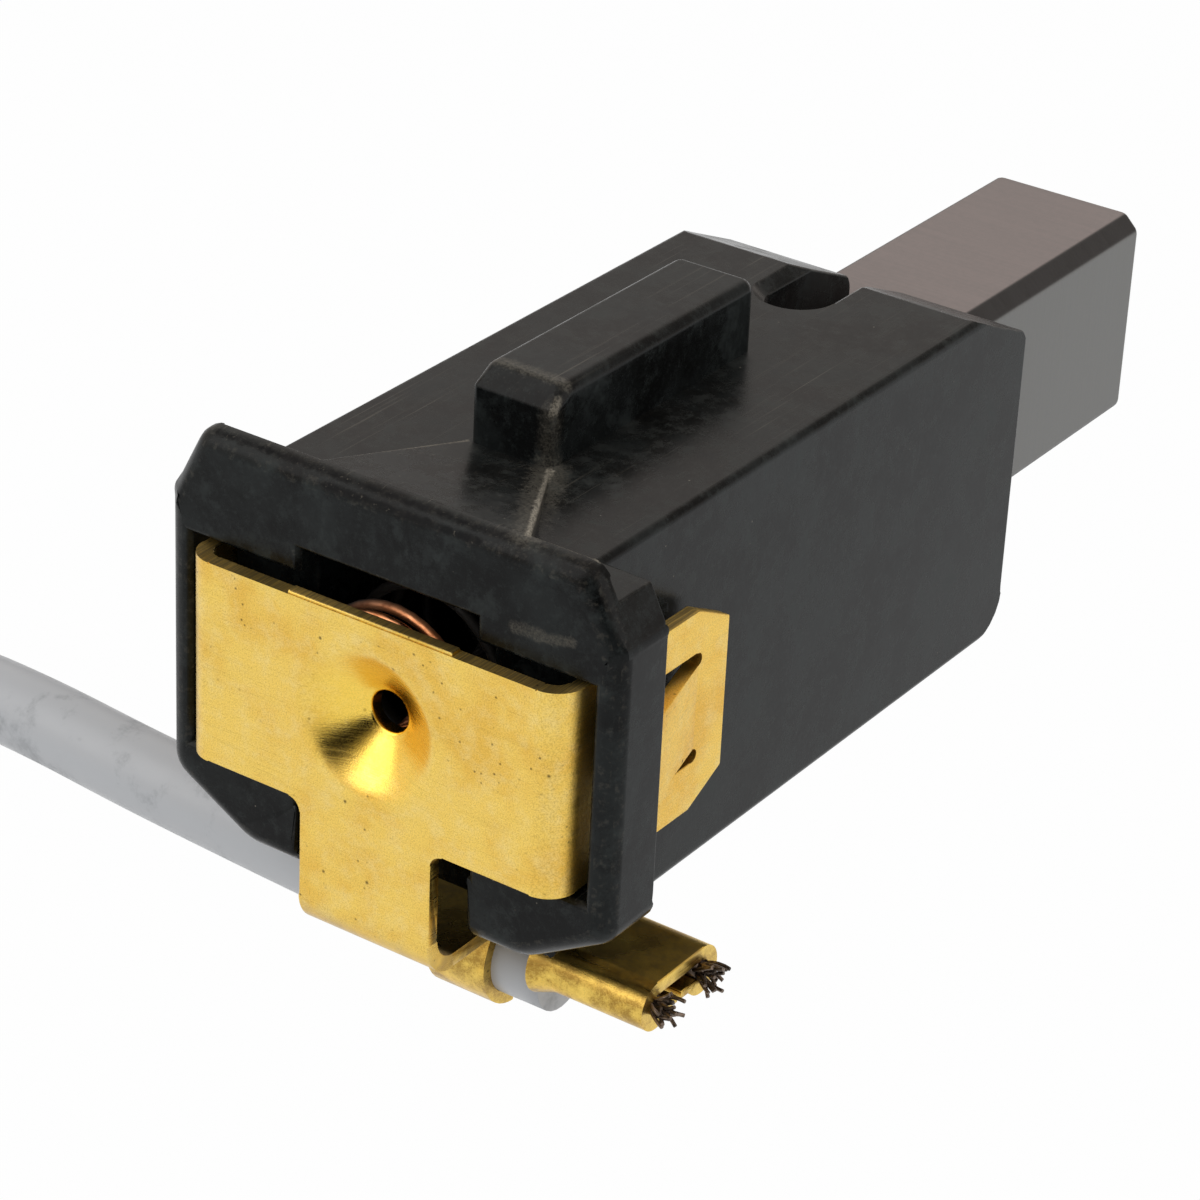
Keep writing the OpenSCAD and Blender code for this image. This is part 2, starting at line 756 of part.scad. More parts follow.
// Section of the receptacle's socket: a flat base with both edges rolled over the tab.
module socket_section() {
    roll = tab_t / 2 + socket_gap + socket_sheet;
    half = tab_w / 2 + socket_gap + socket_sheet;
    difference() {
        polygon(round_rect([-half, -roll], [half, roll], roll * 0.9));
        polygon(round_rect([-half + socket_sheet, -roll + socket_sheet],
                           [half - socket_sheet, roll - socket_sheet], roll * 0.3));
        translate([-tab_w * 0.17, 0])
            square([tab_w * 0.34, roll + cut]);
    }
}

// One open barrel of the receptacle, rolled round a core of the given diameter.
module barrel(z0, z1, core) {
    translate([0, 0, z0])
        linear_extrude(z1 - z0)
            difference() {
                circle(d = core + 2 * socket_sheet + 2 * grip_gap, $fn = round_fn);
                circle(d = core + 2 * grip_gap, $fn = round_fn);
                translate([-0.15, 0])
                    square([0.3, core + cut]);
            }
}

module receptacle() {
    roll = tab_t / 2 + socket_gap + socket_sheet;
    base = -core_d / 2 - socket_sheet - grip_gap;
    color([0.84, 0.67, 0.25])
        translate(lead_end) {
            barrel(0.1, far_wrap, lead_d);
            barrel(far_core_low, far_core_top, core_d);
            box([-strap_x, -lead_d / 2 - socket_sheet, far_core_top - 0.1],
                [strap_x, -lead_d / 2 - grip_gap, 0.2]);
            box([-strap_x, -lead_d / 2 - socket_sheet, far_core_top - 0.5],
                [strap_x, base + socket_sheet / 2, far_core_top - 0.1]);
            hull() {
                box([-strap_x, base, far_core_low], [strap_x, base + socket_sheet, far_core_low + 0.1]);
                box([-tab_w / 2, base, socket_top - 0.1], [tab_w / 2, base + socket_sheet, socket_top]);
            }
            translate([0, base + roll, socket_top - socket_l])
                linear_extrude(socket_l)
                    socket_section();
        }
}

module receptacle_strands() {
    color([0.72, 0.4, 0.24])
        translate(lead_end + [0, 0, far_strand_low])
            cylinder(h = -far_strand_low, d = core_d, $fn = round_fn);
}

holder();
terminal_cap();
carbon_brush();
spring();
shunt();
crimped_strands();
lead_wire();
receptacle();
receptacle_strands();
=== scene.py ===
"""Cartridge carbon brush: its looks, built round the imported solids.

A black thermoset holder guides a sprung carbon block. A folded brass cap closes the holder and
is crimped to a white lead with a push-on receptacle. Lengths are in millimetres where a name
says so and in metres everywhere else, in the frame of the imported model.
"""

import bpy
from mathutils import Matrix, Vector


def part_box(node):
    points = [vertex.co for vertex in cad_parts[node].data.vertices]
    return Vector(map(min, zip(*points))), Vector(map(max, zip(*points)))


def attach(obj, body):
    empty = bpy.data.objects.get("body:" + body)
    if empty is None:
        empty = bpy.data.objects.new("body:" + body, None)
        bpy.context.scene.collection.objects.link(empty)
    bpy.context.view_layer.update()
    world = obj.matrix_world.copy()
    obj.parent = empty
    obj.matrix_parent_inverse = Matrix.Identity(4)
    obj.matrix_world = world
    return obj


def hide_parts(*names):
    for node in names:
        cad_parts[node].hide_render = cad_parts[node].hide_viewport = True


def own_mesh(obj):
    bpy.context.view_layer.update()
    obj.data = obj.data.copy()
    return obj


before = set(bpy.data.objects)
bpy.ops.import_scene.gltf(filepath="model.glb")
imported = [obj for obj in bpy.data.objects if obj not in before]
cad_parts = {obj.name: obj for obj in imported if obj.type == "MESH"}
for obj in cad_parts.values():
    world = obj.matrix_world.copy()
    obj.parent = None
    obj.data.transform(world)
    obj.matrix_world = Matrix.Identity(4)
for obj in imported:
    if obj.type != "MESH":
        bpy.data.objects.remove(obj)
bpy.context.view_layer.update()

import logging
import math
from dataclasses import dataclass
from enum import Enum
from typing import Any, Callable, Iterable, Sequence

import bmesh
import bpy
from bpy.types import Material, Mesh, Node, NodeSocket, NodeTree, Object
from mathutils import Matrix, Vector

log = logging.getLogger("carbon_brush")
MM = 0.001
# Edges that turn by more than this are rounded, in this many steps.
SHARP_DEG = 20
ROUND_STEPS = 3
# Corners that lie closer than this are one corner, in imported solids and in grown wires.
SAME_MM = 0.002
SAME_WIRE_MM = 0.0005
MATH = "ShaderNodeMath"
VECTOR = "ShaderNodeVectorMath"
MIX = "ShaderNodeMix"
JOIN_XYZ = "ShaderNodeCombineXYZ"
SPLIT_XYZ = "ShaderNodeSeparateXYZ"
CIRCLE = "GeometryNodeCurvePrimitiveCircle"
SWEEP = "GeometryNodeCurveToMesh"
Point = tuple[float, float, float]
Span = tuple[float, float]
Colour = NodeSocket | Node | str


class Body(Enum):
    """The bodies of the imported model."""

    HOUSING = "housing"
    BRUSH = "brush"


class Slot(Enum):
    """The material slots of the record."""

    PLASTIC = "moulded_plastic"
    BRASS = "sheet_brass"
    CARBON = "carbon"
    SPRING = "bronze_wire"
    BRAID = "copper_braid"
    STRANDS = "bare_strands"
    INSULATION = "insulation"


# ---------- small helpers ----------


def linear(hex_colour: str) -> tuple[float, float, float, float]:
    """Turns an sRGB hex colour into a linear one.

    Args:
        hex_colour: six hex digits, with or without a leading #.

    Returns:
        Red, green, blue and an alpha of 1.
    """
    digits = hex_colour.lstrip("#")
    parts = [int(digits[i : i + 2], 16) / 255 for i in (0, 2, 4)]
    lin = [c / 12.92 if c <= 0.04045 else ((c + 0.055) / 1.055) ** 2.4 for c in parts]
    return (lin[0], lin[1], lin[2], 1.0)


def per(size_mm: float) -> float:
    """Gives the texture scale of a pattern whose features are size_mm apart."""
    return 1 / (size_mm * MM)


def metres(points: Iterable[Sequence[float]]) -> list[Vector]:
    """Turns points in millimetres into vectors in metres."""
    return [Vector(p) * MM for p in points]


def add(
    tree: NodeTree,
    kind: str,
    inputs: dict[int | str, Any] | Sequence[Any] = (),
    **settings: Any,
) -> Node:
    """Adds one node with its settings and links.

    Args:
        tree: the node tree that gets the node.
        kind: the node's type name.
        inputs: what each input gets, by name or number or in order: a value, another node's
            socket, or a node, which gives its first output in use.
        **settings: properties of the node.

    Returns:
        The new node.
    """
    node = tree.nodes.new(kind)
    for name, value in settings.items():
        setattr(node, name, value)
    wanted = inputs if isinstance(inputs, dict) else dict(enumerate(inputs))
    for key, value in wanted.items():
        plug(tree, node.inputs[key], value)
    return node


def plug(tree: NodeTree, socket: NodeSocket, value: Any) -> None:
    """Links an input to a node or to its socket, or sets the input's own value."""
    if isinstance(value, Node):
        value = next(out for out in value.outputs if out.enabled)
    if isinstance(value, NodeSocket):
        tree.links.new(value, socket)
    else:
        socket.default_value = value


def empty_tree(owner: Any) -> NodeTree:
    """Turns on the nodes of a material or world and clears them."""
    owner.use_nodes = True
    owner.node_tree.nodes.clear()
    return owner.node_tree


def mesh_from(bm: bmesh.types.BMesh, name: str) -> Mesh:
    """Turns a mesh under work, which is freed, into a named mesh."""
    mesh = bpy.data.meshes.new(name)
    bm.to_mesh(mesh)
    bm.free()
    return mesh


def put(name: str, data: Any) -> Object:
    """Puts an object with the given data into the scene."""
    made = bpy.data.objects.new(name, data)
    bpy.context.scene.collection.objects.link(made)
    return made


def turn_angles(count: int) -> list[float]:
    """Gives evenly spaced angles of one full turn."""
    return [2 * math.pi * k / count for k in range(count)]


def smooth_path(points: Sequence[Vector], step: float) -> list[Vector]:
    """Runs a smooth curve through points.

    Args:
        points: the points that the curve passes.
        step: rough distance between the points of the result.

    Returns:
        Closer points on one smooth curve.
    """
    ends = [points[0] * 2 - points[1], *points, points[-1] * 2 - points[-2]]
    out = []
    for a, b, c, d in zip(ends, ends[1:], ends[2:], ends[3:]):
        count = max(2, round((c - b).length / step))
        for i in range(count):
            t = i / count
            out.append(
                0.5
                * (
                    2 * b
                    + (c - a) * t
                    + (2 * a - 5 * b + 4 * c - d) * t * t
                    + (3 * b - a - 3 * c + d) * t**3
                )
            )
    return [*out, points[-1]]


def tube_mesh(name: str, path: Sequence[Vector], radius: float, sides: int) -> Mesh:
    """Sweeps a round section along a path and closes both ends.

    Args:
        name: name of the mesh.
        path: centre line.
        radius: radius of the section.
        sides: number of sides of the section.

    Returns:
        A closed mesh with outward normals.
    """
    bm = bmesh.new()
    rings = []
    normal = Vector((0, 1, 0))
    for i, centre in enumerate(path):
        along = (path[min(i + 1, len(path) - 1)] - path[max(i - 1, 0)]).normalized()
        normal = (normal - along * normal.dot(along)).normalized()
        across = along.cross(normal)
        spokes = [math.cos(a) * normal + math.sin(a) * across for a in turn_angles(sides)]
        rings.append([bm.verts.new(centre + radius * spoke) for spoke in spokes])
    for low, high in zip(rings, rings[1:]):
        for k in range(sides):
            n = (k + 1) % sides
            bm.faces.new((low[k], low[n], high[n], high[k])).smooth = True
    bm.faces.new(list(reversed(rings[0])))
    bm.faces.new(rings[-1])
    bmesh.ops.recalc_face_normals(bm, faces=bm.faces)
    return mesh_from(bm, name)


def new_piece(
    name: str,
    mesh: Mesh,
    finish: Material,
    slot: Slot,
    node: str = "",
    body: Body = Body.HOUSING,
) -> Object:
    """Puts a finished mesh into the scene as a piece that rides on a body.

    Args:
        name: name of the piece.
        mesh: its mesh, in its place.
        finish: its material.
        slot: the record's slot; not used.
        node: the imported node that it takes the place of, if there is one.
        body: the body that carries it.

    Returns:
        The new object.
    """
    mesh.materials.clear()
    mesh.materials.append(finish)
    piece = put(name, mesh)
    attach(piece, body.value)
    if node:
        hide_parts(node)
    log.info("%s: %d faces on %s", name, len(mesh.polygons), body.value)
    return piece


def merged_copy(node: str) -> bmesh.types.BMesh:
    """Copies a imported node's mesh and merges its corners."""
    bm = bmesh.new()
    bm.from_mesh(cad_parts[node].data)
    bmesh.ops.remove_doubles(bm, verts=bm.verts, dist=SAME_MM * MM)
    return bm


def soften(
    bm: bmesh.types.BMesh,
    radius_mm: float,
    shortest_mm: float,
    wanted: Callable[[Vector], bool] = lambda middle: True,
) -> None:
    """Rounds the outward edges that are sharp and marks the new faces as "edge".

    Args:
        bm: mesh that is changed.
        radius_mm: width of the rounding.
        shortest_mm: edges below this length stay sharp.
        wanted: says from an edge's middle whether it is rounded.
    """
    layer = bm.faces.layers.float.get("edge") or bm.faces.layers.float.new("edge")
    edges = [
        e
        for e in bm.edges
        if e.is_manifold
        and e.is_convex
        and e.calc_face_angle() > math.radians(SHARP_DEG)
        and e.calc_length() > shortest_mm * MM
        and wanted((e.verts[0].co + e.verts[1].co) / 2)
    ]
    made = bmesh.ops.bevel(
        bm,
        geom=edges,
        offset=radius_mm * MM,
        offset_type="OFFSET",
        segments=ROUND_STEPS,
        profile=0.5,
        affect="EDGES",
        clamp_overlap=False,
    )
    for face in made["faces"]:
        face[layer] = 1.0
    bmesh.ops.triangulate(bm, faces=[f for f in bm.faces if len(f.verts) > 4])


def finished_mesh(bm: bmesh.types.BMesh, name: str, sharp_deg: float = 32) -> Mesh:
    """Turns a mesh under work into a smooth mesh whose large faces keep their own normals.

    Args:
        bm: mesh under work, freed here.
        name: name of the mesh.
        sharp_deg: edges above this angle stay sharp.

    Returns:
        The mesh, with its normals weighted by face area.
    """
    for face in bm.faces:
        face.smooth = True
    for edge in bm.edges:
        if edge.is_manifold:
            edge.smooth = edge.calc_face_angle() < math.radians(sharp_deg)
    holder = put(name + "_raw", mesh_from(bm, name + "_raw"))
    weights = holder.modifiers.new("weights", "WEIGHTED_NORMAL")
    weights.keep_sharp = True
    mesh = bpy.data.meshes.new_from_object(
        holder.evaluated_get(bpy.context.evaluated_depsgraph_get())
    )
    bpy.data.objects.remove(holder)
    mesh.name = name
    return mesh


# ---------- finishes ----------


@dataclass(frozen=True)
class Pattern:
    """A material's node tree with the patterns that every finish shares."""

    tree: NodeTree
    place: NodeSocket

    def add(self, kind: str, *inputs: Any, **settings: Any) -> Node:
        """Adds one node to the material, with its inputs in order."""
        return add(self.tree, kind, inputs, **settings)

    def fade(
        self, value: Any, low: float, high: float, start: float = 0.0, end: float = 1.0
    ) -> Node:
        """Goes smoothly from start to end while a value goes from low to high."""
        ends = (low, high, start, end)
        return self.add("ShaderNodeMapRange", value, *ends, interpolation_type="SMOOTHSTEP")

    def begin(self, value: Any, span_mm: Span) -> Node:
        """Fades a mask in from the first to the second of two places in millimetres."""
        return self.fade(value, span_mm[0] * MM, span_mm[1] * MM)

    def overlap(self, first: Any, second: Any) -> Node:
        """Gives the mask of what lies in both masks, or a share of the first."""
        return self.add(MATH, first, second, operation="MULTIPLY")

    def noise(self, size_mm: float, detail: float = 4.0, rough: float = 0.6) -> Node:
        """Adds cloudy noise whose largest features are size_mm apart."""
        look = {"Scale": per(size_mm), "Detail": detail, "Roughness": rough}
        return add(self.tree, "ShaderNodeTexNoise", {"Vector": self.place, **look})

    def streaks(self, *sizes_mm: float) -> Node:
        """Adds noise with its own size along X, Y and Z, drawn out along the largest."""
        lanes = self.add(VECTOR, self.place, [per(s) for s in sizes_mm], operation="MULTIPLY")
        look = {"Scale": 1.0, "Detail": 3.0, "Roughness": 0.6}
        return add(self.tree, "ShaderNodeTexNoise", {"Vector": lanes, **look})

    def dots(self, apart_mm: float, least: float, most: float, share: float) -> Node:
        """Adds scattered dots.

        Args:
            apart_mm: rough distance between neighbouring dots.
            least: radius at which a dot is still full, as a share of that distance.
            most: radius at which it has faded out.
            share: how many of the places carry a dot.

        Returns:
            A mask that is 1 inside the dots.
        """
        look = {"Scale": per(apart_mm), "Randomness": 1.0}
        cells = add(self.tree, "ShaderNodeTexVoronoi", {"Vector": self.place, **look})
        picked = self.add("ShaderNodeSeparateColor", cells.outputs["Color"])
        chosen = self.add(MATH, picked, share, operation="LESS_THAN")
        return self.overlap(chosen, self.fade(cells, least, most, 1.0, 0.0))

    def layers(self, ground: Colour, *coats: tuple[Any, Colour]) -> Colour:
        """Lays coats over a ground colour, from the first to the last.

        Args:
            ground: the colour underneath.
            *coats: mask and colour of each coat.

        Returns:
            The colour with its coats.
        """
        for mask, coat in coats:
            pair = [linear(c) if isinstance(c, str) else c for c in (ground, coat)]
            ground = add(self.tree, MIX, {0: mask, 6: pair[0], 7: pair[1]}, data_type="RGBA")
        return ground

    def feed(self, shader: Node, relief: tuple[Any, float, float], **given: Any) -> None:
        """Gives the shader its patterns and its own values.

        Args:
            shader: the material's shader.
            relief: a pattern of heights, its strength and how many millimetres it raises.
            **given: what the other inputs get, named with _ for a space.
        """
        height, strength, deep_mm = relief
        rise = {"Height": height, "Strength": strength, "Distance": deep_mm * MM}
        given["Normal"] = add(self.tree, "ShaderNodeBump", rise)
        for name, value in given.items():
            plug(self.tree, shader.inputs[name.replace("_", " ")], value)


@dataclass(frozen=True)
class Finish:
    """What every finish shares: its name and the start of its material."""

    name: str

    def build(self) -> Material:
        """Makes the material and dresses it."""
        made = bpy.data.materials.new(self.name)
        tree = empty_tree(made)
        shader = add(tree, "ShaderNodeBsdfPrincipled")
        add(tree, "ShaderNodeOutputMaterial", {"Surface": shader})
        self.dress(shader, Pattern(tree, add(tree, "ShaderNodeTexCoord").outputs["Object"]))
        return made

    def dress(self, shader: Node, p: Pattern) -> None:
        """Gives the shader the finish's patterns and values."""
        raise NotImplementedError


@dataclass(frozen=True)
class Scuff:
    """A worn line on the moulding: its ends, half width, strength and kind."""

    start: Point
    end: Point
    width_mm: float
    strength: float
    chipped: bool = False


@dataclass(frozen=True)
class MouldedThermoset(Finish):
    """Black glass-filled thermoset, pressed in a steel die.

    The die leaves a semi-gloss skin that mirrors pale surroundings at low angles. Handling
    leaves dust and dull smudges, and knocks chip the edges and leave chalky scuffs.
    """

    name: str = "moulded black thermoset"
    skin: str = "#080909"
    bloom: str = "#191c1c"
    smudge: str = "#3f4544"
    dust: str = "#5a544c"
    chalk: str = "#9c9485"
    broken: str = "#101011"
    scuffs: tuple[Scuff, ...] = ()

    def gap_mm(self, p: Pattern, scuff: Scuff) -> Node:
        """Adds the distance in millimetres from a worn line."""
        a, b = metres([scuff.start, scuff.end])
        along = b - a
        offset = p.add(VECTOR, p.place, tuple(a), operation="SUBTRACT")
        unit = tuple(along / along.length_squared)
        share = p.add(VECTOR, offset, unit, operation="DOT_PRODUCT")
        held = p.add("ShaderNodeClamp", share)
        foot = add(p.tree, VECTOR, {0: tuple(along), "Scale": held}, operation="SCALE")
        gap = p.add(VECTOR, offset, foot, operation="DISTANCE")
        return p.add(MATH, gap, 1 / MM, operation="MULTIPLY")

    def worn(self, p: Pattern, chipped: bool) -> Node:
        """Adds the mask of the scuffs of one kind, ragged along each worn line."""
        ragged = p.noise(0.4 if chipped else 0.22, 6.0, 0.8)
        fine = p.fade(p.noise(0.08, 3.0, 0.75), 0.36, 0.62, 0.25, 1.0)
        total: Any = 0.0
        for scuff in self.scuffs:
            if scuff.chipped != chipped:
                continue
            band = p.fade(self.gap_mm(p, scuff), 0.0, scuff.width_mm, 0.62, 0.0)
            rough = p.add(MATH, band, ragged, operation="ADD")
            spread = p.fade(rough, 0.66, 1.1, 0.0, scuff.strength)
            total = p.add(MATH, total, spread, operation="MAXIMUM")
        return total if chipped else p.overlap(total, fine)

    def dress(self, shader: Node, p: Pattern) -> None:
        """Gives the shader the finish's patterns and values."""
        cloud = p.noise(3.2, 5.0, 0.62)
        haze = p.noise(0.9, 6.0, 0.72)
        grain = p.noise(0.1, 3.0, 0.65)
        normal = p.add("ShaderNodeNewGeometry").outputs["Normal"]
        upward = p.fade(p.add(SPLIT_XYZ, normal).outputs["Z"], 0.5, 0.98)
        # Dull smudges from fingers, half a millimetre to two across.
        smudged = p.fade(haze, 0.47, 0.72, 0.0, 0.3)
        # Fine pale bloom where the filler shows through the skin.
        filler = p.fade(p.noise(0.22, 4.0, 0.8), 0.5, 0.75, 0.0, 0.22)
        # A thin film of dust on the faces that look up.
        film = p.overlap(upward, p.fade(haze, 0.35, 0.7, 0.01, 0.07))
        # Drag marks from the die run along the body's top.
        drag = p.overlap(upward, p.fade(p.streaks(0.1, 9.0, 0.1), 0.6, 0.78, 0.0, 0.16))
        # Loose pale grains, a few hundredths of a millimetre wide.
        grains = p.overlap(p.dots(0.8, 0.01, 0.05, 0.3), 0.5)
        # The rounded edges are rubbed a little, and the scuffs are broken or chalky.
        edge = p.add("ShaderNodeAttribute", attribute_name="edge").outputs["Fac"]
        rubbed = p.overlap(edge, p.fade(p.noise(0.25, 4.0, 0.7), 0.5, 0.7, 0.0, 0.07))
        chips = self.worn(p, True)
        crumbs = p.overlap(chips, p.fade(p.noise(0.16, 4.0, 0.8), 0.6, 0.7, 0.0, 0.35))
        chalky = p.add(MATH, self.worn(p, False), crumbs, operation="MAXIMUM")
        colour = p.layers(
            self.skin,
            (p.fade(cloud, 0.4, 0.62), self.bloom),
            (smudged, self.smudge),
            (filler, self.smudge),
            (film, self.dust),
            (drag, self.chalk),
            (grains, self.chalk),
            (rubbed, self.chalk),
            (chips, self.broken),
            (chalky, self.chalk),
        )
        wear = p.add(MATH, chips, chalky, operation="MAXIMUM")
        dulled = p.overlap(smudged, 0.5)
        skin = p.add(MATH, p.fade(cloud, 0.3, 0.7, 0.2, 0.3), dulled, operation="ADD")
        rough = p.add(MATH, wear, 0.5, skin, operation="MULTIPLY_ADD")
        height = p.add(MATH, wear, -2.0, grain, operation="MULTIPLY_ADD")
        p.feed(
            shader,
            (height, 0.1, 0.03),
            Base_Color=colour,
            Roughness=rough,
            IOR=1.5,
            Specular_IOR_Level=0.125,
        )


@dataclass(frozen=True)
class SheetBrass(Finish):
    """Cold-rolled brass sheet, punched and folded.

    Rolling leaves a satin grain with faint parallel lines. Handling adds pale and warm stains,
    and dirt in the pores shows as small dark specks.
    """

    name: str = "rolled sheet brass"
    metal: str = "#f6d26a"
    stain: str = "#e2ab3c"
    pale: str = "#f6e09a"
    pore: str = "#3b2f17"
    # This brown darkens the crimps under the holder: partly grease, partly painted shade.
    grime_and_shade: str = "#8a6216"
    sheared: str = "#8d7c50"
    drawn: str = "#f5d050"
    roughness: float = 0.31
    # Each mark fades in from the first place to the second.
    plate_z_mm: float = 0.225
    top_edge_mm: Span = (3.5, 3.6)
    shade_grime_top_mm: Span = (-6.5, -8.0)
    shade_grime_foot_mm: Span = (-16.0, -12.0)
    funnel_mm: Span = (3.0, 1.2)
    funnel_depth_mm: Span = (-1.0, -1.5)
    bend_mm: Span = (6.4, 7.4)
    bend_foot_mm: Span = (-6.8, -6.2)

    def dress(self, shader: Node, p: Pattern) -> None:
        """Gives the shader the finish's patterns and values."""
        cloud = p.noise(3.0, 4.0, 0.6)
        haze = p.noise(0.8, 5.0, 0.7)
        grit = p.noise(0.05, 3.0, 0.7)
        across, depth, height = p.add(SPLIT_XYZ, p.place).outputs
        normal = p.add("ShaderNodeNewGeometry").outputs["Normal"]
        upward = p.add(SPLIT_XYZ, normal).outputs["Z"]
        # Rolling lines lie 0.06 mm apart across the sheet's height and run for millimetres.
        lines = p.streaks(2.0, 2.0, 0.06)
        # The crimps below the holder get grainy dark patches: partly grease and flux from
        # crimping, partly painted shade under the holder.
        low = p.overlap(p.begin(height, self.shade_grime_top_mm), p.begin(height, self.shade_grime_foot_mm))
        grimy = p.add(MATH, p.overlap(haze, 0.65), p.overlap(grit, 0.35), operation="ADD")
        shaded_grime = p.overlap(low, p.fade(grimy, 0.4, 0.6, 0.0, 0.8))
        # The shears left a dull, finely grooved face along the plate's upper edge.
        on_top = p.overlap(p.begin(height, self.top_edge_mm), p.fade(upward, 0.5, 0.8))
        grooves = p.fade(p.streaks(0.05, 3.0, 3.0), 0.35, 0.6, 0.5, 1.0)
        # Dirt fills the pores: large ones anywhere, small ones crowded in patches.
        small = p.overlap(p.dots(0.32, 0.02, 0.2, 0.7), p.fade(cloud, 0.46, 0.58))
        specks = p.add(MATH, p.dots(0.9, 0.02, 0.1, 0.5), small, operation="MAXIMUM")
        # The punch burnished the funnel as it drew it.
        middle = p.add(VECTOR, p.place, (0.0, 0.0, self.plate_z_mm * MM), operation="SUBTRACT")
        away = p.add(VECTOR, middle, (1.0, 0.0, 1.0), operation="MULTIPLY")
        near = p.begin(p.add(VECTOR, away, operation="LENGTH"), self.funnel_mm)
        funnel = p.overlap(near, p.begin(depth, self.funnel_depth_mm))
        # Folding stretched the sheet's outer grains, so the bends are dull and pebbled.
        side = p.begin(p.add(MATH, across, operation="ABSOLUTE"), self.bend_mm)
        bent = p.overlap(side, p.begin(height, self.bend_foot_mm))
        colour = p.layers(
            self.metal,
            (p.fade(cloud, 0.42, 0.66, 0.0, 0.5), self.stain),
            (p.fade(haze, 0.42, 0.76, 0.0, 0.5), self.pale),
            (p.fade(grit, 0.32, 0.6, 0.3, 0.0), self.pore),
            (p.fade(lines, 0.3, 0.5, 0.1, 0.0), self.pore),
            (shaded_grime, self.grime_and_shade),
            (p.overlap(on_top, grooves), self.sheared),
            (p.overlap(specks, 0.8), self.pore),
            (p.overlap(funnel, 0.5), self.drawn),
        )
        rough = p.fade(lines, 0.3, 0.7, self.roughness - 0.05, self.roughness + 0.07)
        for mask, more in ((funnel, -0.12), (bent, 0.26), (on_top, 0.2)):
            rough = p.add(MATH, mask, more, rough, operation="MULTIPLY_ADD")
        pebbled = p.overlap(bent, p.fade(p.noise(0.12, 2.0, 0.6), 0.3, 0.7, 0.0, 1.2))
        rolled = p.add(MATH, lines, 0.45, grit, operation="MULTIPLY_ADD")
        relief = p.add(MATH, rolled, pebbled, operation="ADD")
        p.feed(shader, (relief, 0.35, 0.012), Base_Color=colour, Roughness=rough, Metallic=1.0)


@dataclass(frozen=True)
class PressedCarbon(Finish):
    """Electrographite, pressed, baked and ground to size.

    Grinding leaves fine lines across the sides. The faces that look up or down are painted a
    lighter, warmer grey as painted light, and the slanted bevels are painted dark as painted
    shade.
    """

    name: str = "ground electrographite"
    side: str = "#6b6b69"
    # top is painted light: a lighter, warmer grey for the faces that look up or down.
    top: str = "#7b716e"
    # bevel is painted shade: a dark grey for the slanted faces.
    bevel: str = "#262525"

    def dress(self, shader: Node, p: Pattern) -> None:
        """Gives the shader the finish's patterns and values."""
        normal = p.add("ShaderNodeNewGeometry").outputs["Normal"]
        size = p.add(VECTOR, normal, operation="ABSOLUTE")
        across, _, upright = p.add(SPLIT_XYZ, size).outputs
        bevel_shade_mask = p.add(MATH, across, upright, operation="MINIMUM")
        # The colour follows the way each face points: painted light on faces that look up or down,
        # painted shade on the bevels.
        colour = p.layers(
            self.side,
            (p.fade(upright, 0.8, 0.95), self.top),
            (p.fade(bevel_shade_mask, 0.25, 0.5), self.bevel),
        )
        # Grinding lines stand 0.16 mm apart along the block and cross its full height.
        ground, cloud = p.streaks(5.0, 0.16, 5.0), p.noise(0.22, 5.0, 0.7)
        shade = p.add(MATH, ground, cloud, operation="ADD")
        tone = {"Value": p.fade(shade, 0.7, 1.3, 0.86, 1.12), "Color": colour}
        toned = add(p.tree, "ShaderNodeHueSaturation", tone)
        rough = p.fade(shade, 0.7, 1.3, 0.36, 0.52)
        p.feed(shader, (shade, 0.15, 0.02), Base_Color=toned, Roughness=rough, Metallic=0.25)


@dataclass(frozen=True)
class DrawnWire(Finish):
    """Metal wire drawn through a die, bright where it lies open.

    Patches are tarnished, and the wire that lies deep in the holder is painted near black and
    matt: partly carbon dust, partly painted shade.
    """

    metal: str = "#c9825a"
    tarnish: str = "#7a4a30"
    shade_and_soot: str = "#17130f"
    roughness: float = 0.3
    patch_mm: float = 0.8
    unshaded_to_mm: float = 100.0
    shade_soot_from_mm: float = 101.0

    def dress(self, shader: Node, p: Pattern) -> None:
        """Gives the shader the finish's patterns and values."""
        patch = p.noise(self.patch_mm, 4.0, 0.65)
        depth = p.add(SPLIT_XYZ, p.place).outputs["Y"]
        # Deeper in the holder the wire turns near black and loses its metal: painted shade of the
        # holder's inside, with some carbon dust.
        shaded_sooty = p.begin(depth, (self.unshaded_to_mm, self.shade_soot_from_mm))
        tarnished = p.fade(patch, 0.4, 0.72)
        colour = p.layers(self.metal, (tarnished, self.tarnish), (shaded_sooty, self.shade_and_soot))
        rough = p.fade(patch, 0.3, 0.7, self.roughness - 0.06, self.roughness + 0.2)
        dull = p.add(MATH, shaded_sooty, 0.35, rough, operation="MULTIPLY_ADD")
        clean = p.add(MATH, 1.0, shaded_sooty, operation="SUBTRACT")
        relief = (p.noise(0.06, 2.0), 0.15, 0.01)
        p.feed(shader, relief, Base_Color=colour, Roughness=dull, Metallic=clean)


@dataclass(frozen=True)
class ExtrudedVinyl(Finish):
    """White vinyl insulation, extruded over the core.

    The extruder leaves a smooth, slightly cool white skin, painted light grey here as painted
    shade. Handling leaves grey smudges.
    """

    name: str = "extruded white vinyl"
    # The skin is a light grey rather than white: painted shade over the whole lead.
    skin: str = "#b3b5b8"
    smudge: str = "#74777a"

    def dress(self, shader: Node, p: Pattern) -> None:
        """Gives the shader the finish's patterns and values."""
        smear = p.noise(1.8, 6.0, 0.7)
        colour = p.layers(self.skin, (p.fade(smear, 0.52, 0.75, 0.0, 0.6), self.smudge))
        rough = p.fade(smear, 0.3, 0.7, 0.3, 0.48)
        p.feed(shader, (p.noise(0.5, 2.0), 0.08, 0.03), Base_Color=colour, Roughness=rough)


# ---------- studio ----------


